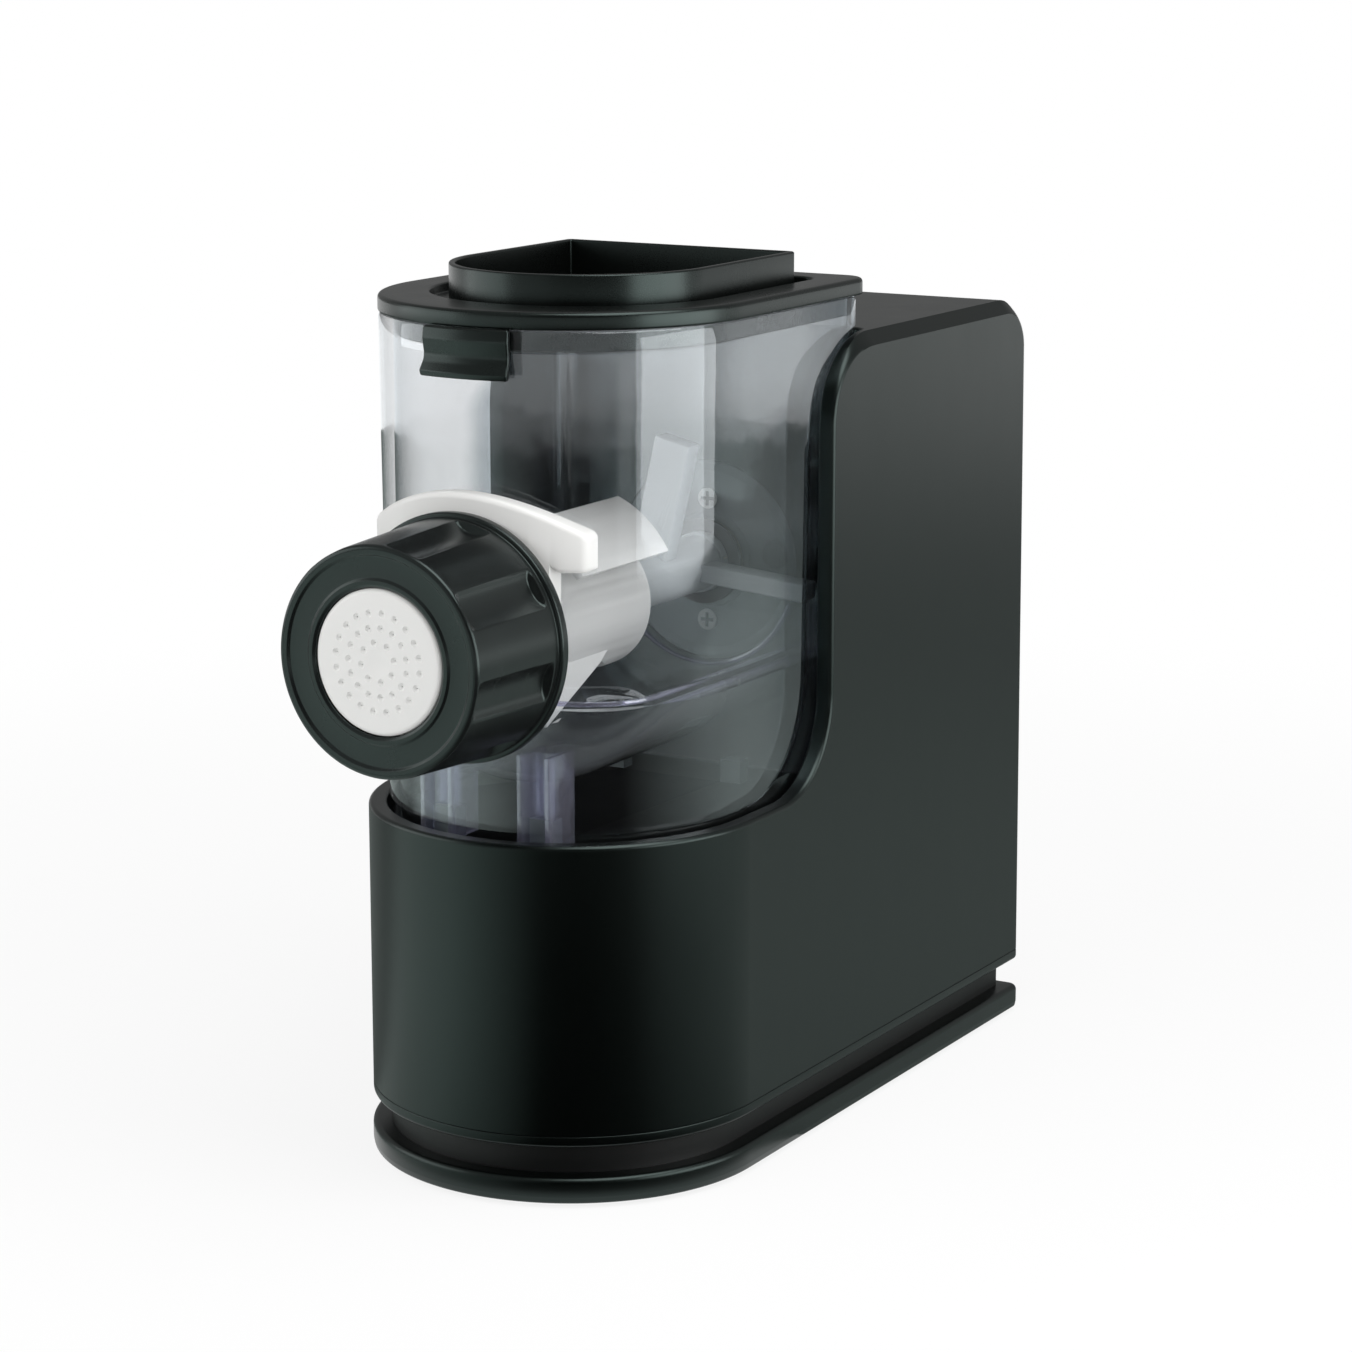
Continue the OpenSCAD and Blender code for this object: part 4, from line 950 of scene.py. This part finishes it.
def funnel():
    """Funnel wall round the filling opening, with a floor that slopes down to the pouring slots."""
    wall = 2.2
    foot = LID_Z + 0.6

    def ring(inset, z):
        """The funnel's D outline, drawn in by an inset, at a height."""
        corner = max(2 - inset * 0.6, 0.5)
        return at_height(d_ring(FUNNEL_R - inset, FUNNEL_Y, FUNNEL_BACK - inset, corner), z)

    edge = rounded([(0, foot), (0, FUNNEL_TOP, 0.7), (wall, FUNNEL_TOP, 0.7), (wall, foot + 0.5)], steps=4)
    tub = Surface().loft([ring(inset, z) for inset, z in edge]).build("funnel_wall")
    dress(tub, black_shell, "lid", "black_gloss")
    plan = d_ring(FUNNEL_R - 1.2, FUNNEL_Y, FUNNEL_BACK - 1.2, 1.3)
    rise = np.interp(plan[:, 0], [-60, -26, 60], [2.6, 2.6, 10.5])
    floor = Surface().loft([at_height(plan, LID_Z + 0.5), np.column_stack([plan, LID_Z + rise])])
    floor = floor.build("funnel_floor")
    tools = []
    for x, y, wide, long in [(-24 + 12 * i, 26, 6, 26) for i in range(4)] + [(-40, 10, 9, 50)]:
        x1, y1 = x + wide, y + long
        slot = rounded([(x, y, 1.5), (x1, y, 1.5), (x1, y1, 1.5), (x, y1, 1.5)], steps=4, closed=True)
        tools.append(prism(slot, LID_Z - 2, LID_Z + 16).build("tool"))
    cut(floor, *tools)
    dress(floor, black_shell, "lid", "black_gloss", "lid_funnel")


def latch():
    """Latch flap: a profile of (radius, z) with a hollow band and an outward lip, swept round the front."""
    foot, head = box_mm("lid_latch")[0][2], LID_Z + 0.2
    r_in, r_out = LID_R + 0.8, LID_R + 3.4
    profile = rounded([
        (LID_R + 0.15, head), (r_out - 0.6, head, 1.0), (r_out, head - 4, 4), (r_out - 0.9, foot + 6, 6),
        (r_out + 1.5, foot + 1.8, 0.9), (r_out + 0.9, foot, 0.7), (r_in + 1.0, foot, 1.2),
        (r_in, foot + 5, 2),
    ], steps=6, closed=True)
    r, z = profile.T
    half = math.asin(16.4 / r_out)
    t = np.linspace(-half, half, 25)
    rings = [np.column_stack([r * math.sin(a), BOWL_Y - r * math.cos(a), z]) for a in t]
    flap = Surface().loft(rings).build("latch_flap")
    dress(bevelled(flap, 0.9, 4, 50), black_shell, "latch", "black_gloss", "lid_latch")


lid()
lid_knuckle()
funnel()
latch()


# ---- extruder
def cap_nut():
    """Cap nut: radius as a function of angle and y, with eight grip hollows, each part of a cylinder.

    A hollow follows the cone at an even depth, with softened edges. It fades in over the front shoulder and
    ends steeply at the back.
    """
    face_r, widening = 37.5, 2.2
    length = NUT_BACK - NUT_FACE
    cone = length - 4.0
    lip = FLANGE_R - 3
    grips, turn0 = 8, math.radians(14)
    cutter, depth = 12.0, 2.8
    front = rounded([(36.0, 0.0), (face_r, 0.0, 1.5), (face_r + 0.15, 3.2)], steps=6)[1:-1]
    cone_y = np.concatenate([
        np.linspace(1.8, 5.4, 12), np.linspace(6, 38, 17), np.linspace(38.6, 43.0, 16)])
    cone_r = face_r + widening * cone_y / cone
    tail = rounded([(face_r + widening, 43.3), (face_r + widening, cone, 0.5), (FLANGE_R, cone, 0.9),
                    (FLANGE_R, length, 0.9), (lip, length)], steps=5)
    r = np.concatenate([front[:, 0], cone_r, tail[:, 0]])[:, None]
    y = np.concatenate([front[:, 1], cone_y, tail[:, 1]])[:, None]
    t = np.linspace(0, 2 * np.pi, 480, endpoint=False)[None, :]
    step = 2 * np.pi / grips
    off = (t + turn0 + step / 2) % step - step / 2
    reach = face_r + widening * y / cone - depth + cutter
    near = np.abs(np.sin(off)) < cutter / reach
    half_chord = np.sqrt(np.maximum(cutter ** 2 - (reach * np.sin(off)) ** 2, 0))
    hollow = np.where(near, reach * np.cos(off) - half_chord, 60)
    ends = smooth_step((y - 0.5) / 3.6) * (1 - smooth_step((y - 40.4) / 1.5))
    soft = 0.2
    gap = np.maximum(r - hollow, 0)
    radius = r - (np.sqrt(gap ** 2 + soft ** 2) - soft) * ends
    skin = np.stack([radius * np.cos(t), NUT_FACE + y + 0 * t, AXIS + radius * np.sin(t)], -1)
    bore = rounded([
        (lip, length), (27.4, length, 0.6), (27.4, 3.4), (23.9, 3.4), (23.9, 0.9, 0.5), (24.9, 0.2, 0.4),
        (26.2, 0.2, 0.2), (27.0, 0.75, 0.4), (33.8, 0.75, 0.5), (34.6, 0.0, 0.5), (36.0, 0.0)], steps=4)
    inside = turned(bore + [0, NUT_FACE], 480)
    nut = Surface().sheet(skin, round_u=True).sheet(inside, round_u=True).build("cap_nut_gripped", 28)
    dress(nut, black_grip, "cap_nut", "black_gloss", "cap_nut")


def die():
    """Die disc with a shallow dimple in its middle and countersunk holes in three rings."""
    back = box_mm("die")[1][1] - MID
    front, seat = NUT_FACE + 0.5, NUT_FACE + 3.2
    profile = rounded([
        (0, front + 0.35), (2.5, front + 0.3), (4.4, front + 0.02, 1.5), (22.6, front, 2),
        (23.6, front + 0.9, 0.8), (23.6, seat), (27, seat, 0.3), (27, back), (18.6, back),
        (18.6, front + 5), (0, front + 5)], steps=4)
    disc = Surface().sheet(turned(profile, 144), round_u=True).build("die_disc", 40)
    sink = np.array([[1.4, -0.2], [1.05, 0.3], [0.6, 0.5], [0.22, 0.6], [0.22, 2]]) + [0, front]
    holes = Surface()
    for count, r in ((8, 6.4), (15, 11.1), (20, 15.9)):
        for i in range(count):
            a = math.radians(360 / count * i + 11)
            hole = turned(sink, 20) + [r * math.cos(a), 0, r * math.sin(a)]
            holes.sheet(hole, round_u=True).face(hole[0]).face(hole[-1])
    cut(disc, holes.build("tool"), sharp=35)
    dress(disc, white_gloss, "die", "white_plastic", "die")


def lock_yoke():
    """Yoke bent round the bowl, as upright sections from ear to ear.

    Its top is a flat bow, z = 47.4 - 0.0076 x squared over the axis. Below, it follows the barrel, ends in
    short legs beside it, and steps up to the ears. The sections shrink along a quarter circle at the ends.
    """
    end, soft, leg, slot = box_mm("lock_yoke")[1][0], 1.9, 30.0, BARREL_R
    side = np.concatenate([
        np.linspace(0, slot - 0.05, 25), [slot + 0.05, 27, leg - 0.05, leg + 0.4, leg + 1.2, leg + 3],
        np.linspace(leg + 5, end - soft, 8), end - soft * (1 - np.sin(np.radians(np.linspace(15, 90, 6))))])
    rings = []
    for x in np.concatenate([-side[:0:-1], side]):
        away = abs(x)
        ease = max(away - (end - soft), 0) / soft
        shrink = soft * (1 - math.sqrt(max(1 - ease ** 2, 0))) * 0.9
        top = 47.4 - 0.0076 * x ** 2 - shrink
        if away < slot:
            foot = max(math.sqrt(slot ** 2 - x ** 2), 0.2)
        elif away < leg:
            foot = -8.0
        else:
            foot = 22.6 + 2.4 * max(1 - (away - leg) / 3, 0) ** 2 + shrink
        inner, outer = BOWL_R + 0.8 + shrink, BOWL_R + 7.3 - shrink
        ring = rounded([
            (inner, foot, 0.4), (outer, foot, soft * 0.9), (outer, top, soft * 1.1), (inner, top, 0.6),
        ], steps=6, closed=True)
        y = BOWL_Y - np.sqrt(ring[:, 0] ** 2 - x ** 2)
        rings.append(at_x(np.column_stack([y, ring[:, 1] + AXIS]), x))
    yoke = Surface().loft(rings).build("lock_yoke_moulded", 40)
    dress(yoke, white_gloss, "lock_yoke", "white_plastic", "lock_yoke")


def barrel():
    """Barrel with the guards at its mouth: the upper one open on top, the lower one held by two webs."""
    piece = copy_of("barrel", "barrel_moulded")
    r = BARREL_R
    above = [(-61, r), (30, r), (30, 60), (-61, 60)]
    below = [(-13, -15.4), (-60, -37), (-60, -60), (30, -60), (30, -r), (10, -r)]
    beside = [(-58, -12), (-58, -60), (30, -60), (30, -12)]
    cuts = ((above, -30, 14.2), (below, -60, 60), (beside, -60.5, -22.5), (beside, 22.5, 60.5))
    cut(piece, *[slab_x(*shape).build("tool") for shape in cuts])
    settled(bevelled(piece, 0.6))
    crisp(piece, 30)
    dress(piece, white_gloss, "housing", "white_plastic", "barrel")
    for x, name in ((-20.4, "barrel_web_left"), (18.2, "barrel_web_right")):
        web = slab_x([(-50, -12), (-9, -12), (-15, -16.4), (-44, -29.7), (-49, -32)], x, x + 2.2)
        dress(bevelled(web.build(name), 0.5), white_gloss, "housing", "white_plastic")


def mixing_shaft():
    """Shaft and paddles keep the node's shape and get rounded edges."""
    for node, width in (("mixing_shaft", 0.8), ("paddles", 1.6)):
        piece = copy_of(node, node + "_moulded", width)
        crisp(piece, 30)
        dress(piece, white_painted_shade, "rotor", "white_plastic", node)


cap_nut()
die()
lock_yoke()
barrel()
mixing_shaft()


# ---- the other nodes keep their shape
KEPT = {
    black_dull: ["base_pan", "cord_bush"],
    deck_grey: ["well_deck"],
    black_satin: ["mode_knob", "selector_body"],
    rubber: ["rubber_feet"],
    screw_steel: ["foot_screws", "motor_screws", "latch_pin"],
    screw_zinc: ["cover_screws"],
    seal_grey: ["shaft_seal"],
    gasket_grey: ["lid_gasket", "die_ring"],
    plate_steel: ["front_gear_plate", "rear_gear_plate", "motor_case", "motor_stator"],
    shaft_steel: ["plate_pillars", "drive_shaft", "idler_arbor", "motor_arbor", "motor_pinion"],
    bush_brass: ["gear_bushes"],
    gear_white: ["output_gear", "idler_gear", "motor_fan", "drive_dog"],
    white_painted_shade: ["auger"],
    winding_red: ["motor_armature"],
    board_green: ["control_board"],
    part_dark: ["board_parts"],
}
for material, names in KEPT.items():
    for name in names:
        NODES[name].data.materials.clear()
        NODES[name].data.materials.append(material)


# ---- floor, light and camera
def flat_sheet(name, corners, material, faces):
    """A flat stage piece through the given corners, in metres."""
    mesh = bpy.data.meshes.new(name)
    mesh.from_pydata(corners, [], faces)
    mesh.materials.append(material)
    sheet = new_object(name, mesh)
    return sheet


def floor():
    """White floor: camera, mirrored and refracted rays see it glow at one.

    Near the object a share of the lit paper is mixed in, so that the shadow shows.
    """
    shop = Shop(bpy.data.materials.new("floor_white"))
    rays = shop.node("LightPath")
    seen = (rays[CAMERA_RAY] + rays[GLOSSY_RAY] + rays[TRANSMISSION_RAY]).clamped()
    away = shop.node("VectorMath", {0: shop.place()}, operation="LENGTH")[1]
    share = shop.rise(away, 0.3, 0.9, 0.86, 1.0)
    paper = shop.node("BsdfDiffuse", {"Color": (0.86, 0.86, 0.86)})[0]
    glow = shop.node("Emission", {"Color": (1, 1, 1), "Strength": 1.0})[0]
    size = 40.0
    corners = [(-size, -size, 0), (size, -size, 0), (size, size, 0), (-size, size, 0)]
    flat_sheet("floor", corners, shop.surface(shop.mixed(seen * share, paper, glow)), [[0, 1, 2, 3]])


def floor_cloth():
    """Ring on the floor that only mirrored rays see: its grey follows the azimuth from the front.

    Positive degrees lie to the right. It is near black from 14 to 60, so that glossy faces there stay dark.
    """
    greys = ((-180, 0.4), (-85, 0.3), (-75, 0.9), (-35, 0.9), (14, 0.002), (60, 0.002), (125, 0.4),
             (180, 0.4))
    stops = [((a + 180) / 360, (g * 0.92, g * 1.04, g)) for a, g in greys]
    middle = MID * 0.001
    shop = Shop(bpy.data.materials.new("floor_cloth"))
    x, y = shop.node("SeparateXYZ", {0: shop.place()})[:2]
    angle = shop.node("Math", {0: x, 1: middle - y}, operation="ARCTAN2")[0]
    grey = shop.node("ValToRGB", {0: angle * (0.5 / math.pi) + 0.5}, stops=stops)[0]
    cloth = shop.surface(shop.node("BsdfDiffuse", {"Color": grey})[0])
    t = np.radians(np.arange(0, 360, 5))
    count = len(t)
    z = np.full(count, 0.002)
    rings = [np.column_stack([r * np.sin(t), middle - r * np.cos(t), z]) for r in (0.08, 1.7)]
    quads = [[i, (i + 1) % count, (i + 1) % count + count, i + count] for i in range(count)]
    sheet = flat_sheet("floor_cloth", np.concatenate(rings).tolist(), cloth, quads)
    sheet.visible_camera = False
    sheet.visible_diffuse = False
    sheet.visible_shadow = False
    sheet.visible_transmission = False


def room():
    """World: white to the camera and through glass; other rays see a grey, near black at front right."""
    world = bpy.data.worlds.new("room")
    bpy.context.scene.world = world
    shop = Shop(world)
    rays = shop.node("LightPath")
    direction = shop.node("TexCoord")[0]
    front_right = (0.766, -0.643, 0.0)
    toward = shop.node("VectorMath", {0: direction, 1: front_right}, operation="DOT_PRODUCT")[1]
    grey = shop.rise(toward, 0.55, 0.8, 0.26, 0.003)
    seen = (rays[CAMERA_RAY] + rays[TRANSMISSION_RAY]).clamped()
    back = shop.node("Background", {"Color": (1, 1, 1), "Strength": seen + (1 - seen) * grey})[0]
    shop.node("OutputWorld", {"Surface": back})


def lamp(name, azimuth, height, distance, wide, tall, power, mirrored, aim):
    """A soft box at an azimuth to the right of the front, in degrees, that faces a height on the axis."""
    light = bpy.data.lights.new(name, "AREA")
    light.shape = "RECTANGLE"
    light.size, light.size_y = wide, tall
    light.energy = power
    box = new_object(name, light)
    a = math.radians(azimuth)
    box.location = (math.sin(a) * distance, -math.cos(a) * distance + MID * 0.001, height)
    look = box.location - Vector((0, MID * 0.001, aim))
    box.rotation_mode = "QUATERNION"
    box.rotation_quaternion = look.to_track_quat("Z", "Y")
    box.visible_camera = False
    box.visible_glossy = mirrored


def lamps():
    """Soft boxes: azimuth, height, distance, width, height of the face, watts, seen in mirrors, aim."""
    lamp("right_soft_box", 95, 0.33, 0.85, 0.8, 0.56, 4.2, True, 0.33)
    lamp("back_right_soft_box", 142, 0.32, 0.85, 0.72, 0.5, 0.08, True, 0.32)
    lamp("left_soft_box", -62, 0.55, 1.2, 1.1, 0.8, 4.0, True, 0.55)
    lamp("narrow_strip", 61, 0.17, 0.5, 0.08, 0.1, 0.008, True, 0.17)
    lamp("front_soft_light", -18, 0.9, 1.2, 1.0, 1.0, 7, False, 0.15)
    lamp("top_soft_light", 80, 1.5, 0.6, 1.2, 1.2, 16, True, 0.15)


def camera():
    """Camera at 30 degrees to the right and 12 degrees above, with a long lens; lengths in millimetres."""
    azimuth, elevation = math.radians(30.015), math.radians(12.1745)
    distance, focal, frame_px, sensor = 1364.81, 3684.48, 1352, 36.0
    pan, lift = -7.988, 146.338
    level = math.cos(elevation)
    back = np.array([math.sin(azimuth) * level, -math.cos(azimuth) * level, math.sin(elevation)])
    right = np.array([math.cos(azimuth), math.sin(azimuth), 0.0])
    up = np.cross(back, right)
    place = back * distance + right * pan + up * lift + [0, MID + 86.593, 0]
    lens = bpy.data.cameras.new("camera")
    lens.sensor_width = sensor
    lens.lens = focal / frame_px * sensor
    lens.clip_end = 100
    eye = new_object("camera", lens)
    eye.location = place * 0.001
    eye.rotation_mode = "QUATERNION"
    eye.rotation_quaternion = Vector(back).to_track_quat("Z", "Y")
    bpy.context.scene.camera = eye


floor()
floor_cloth()
room()
lamps()
camera()
bpy.context.scene.view_settings.view_transform = "Standard"
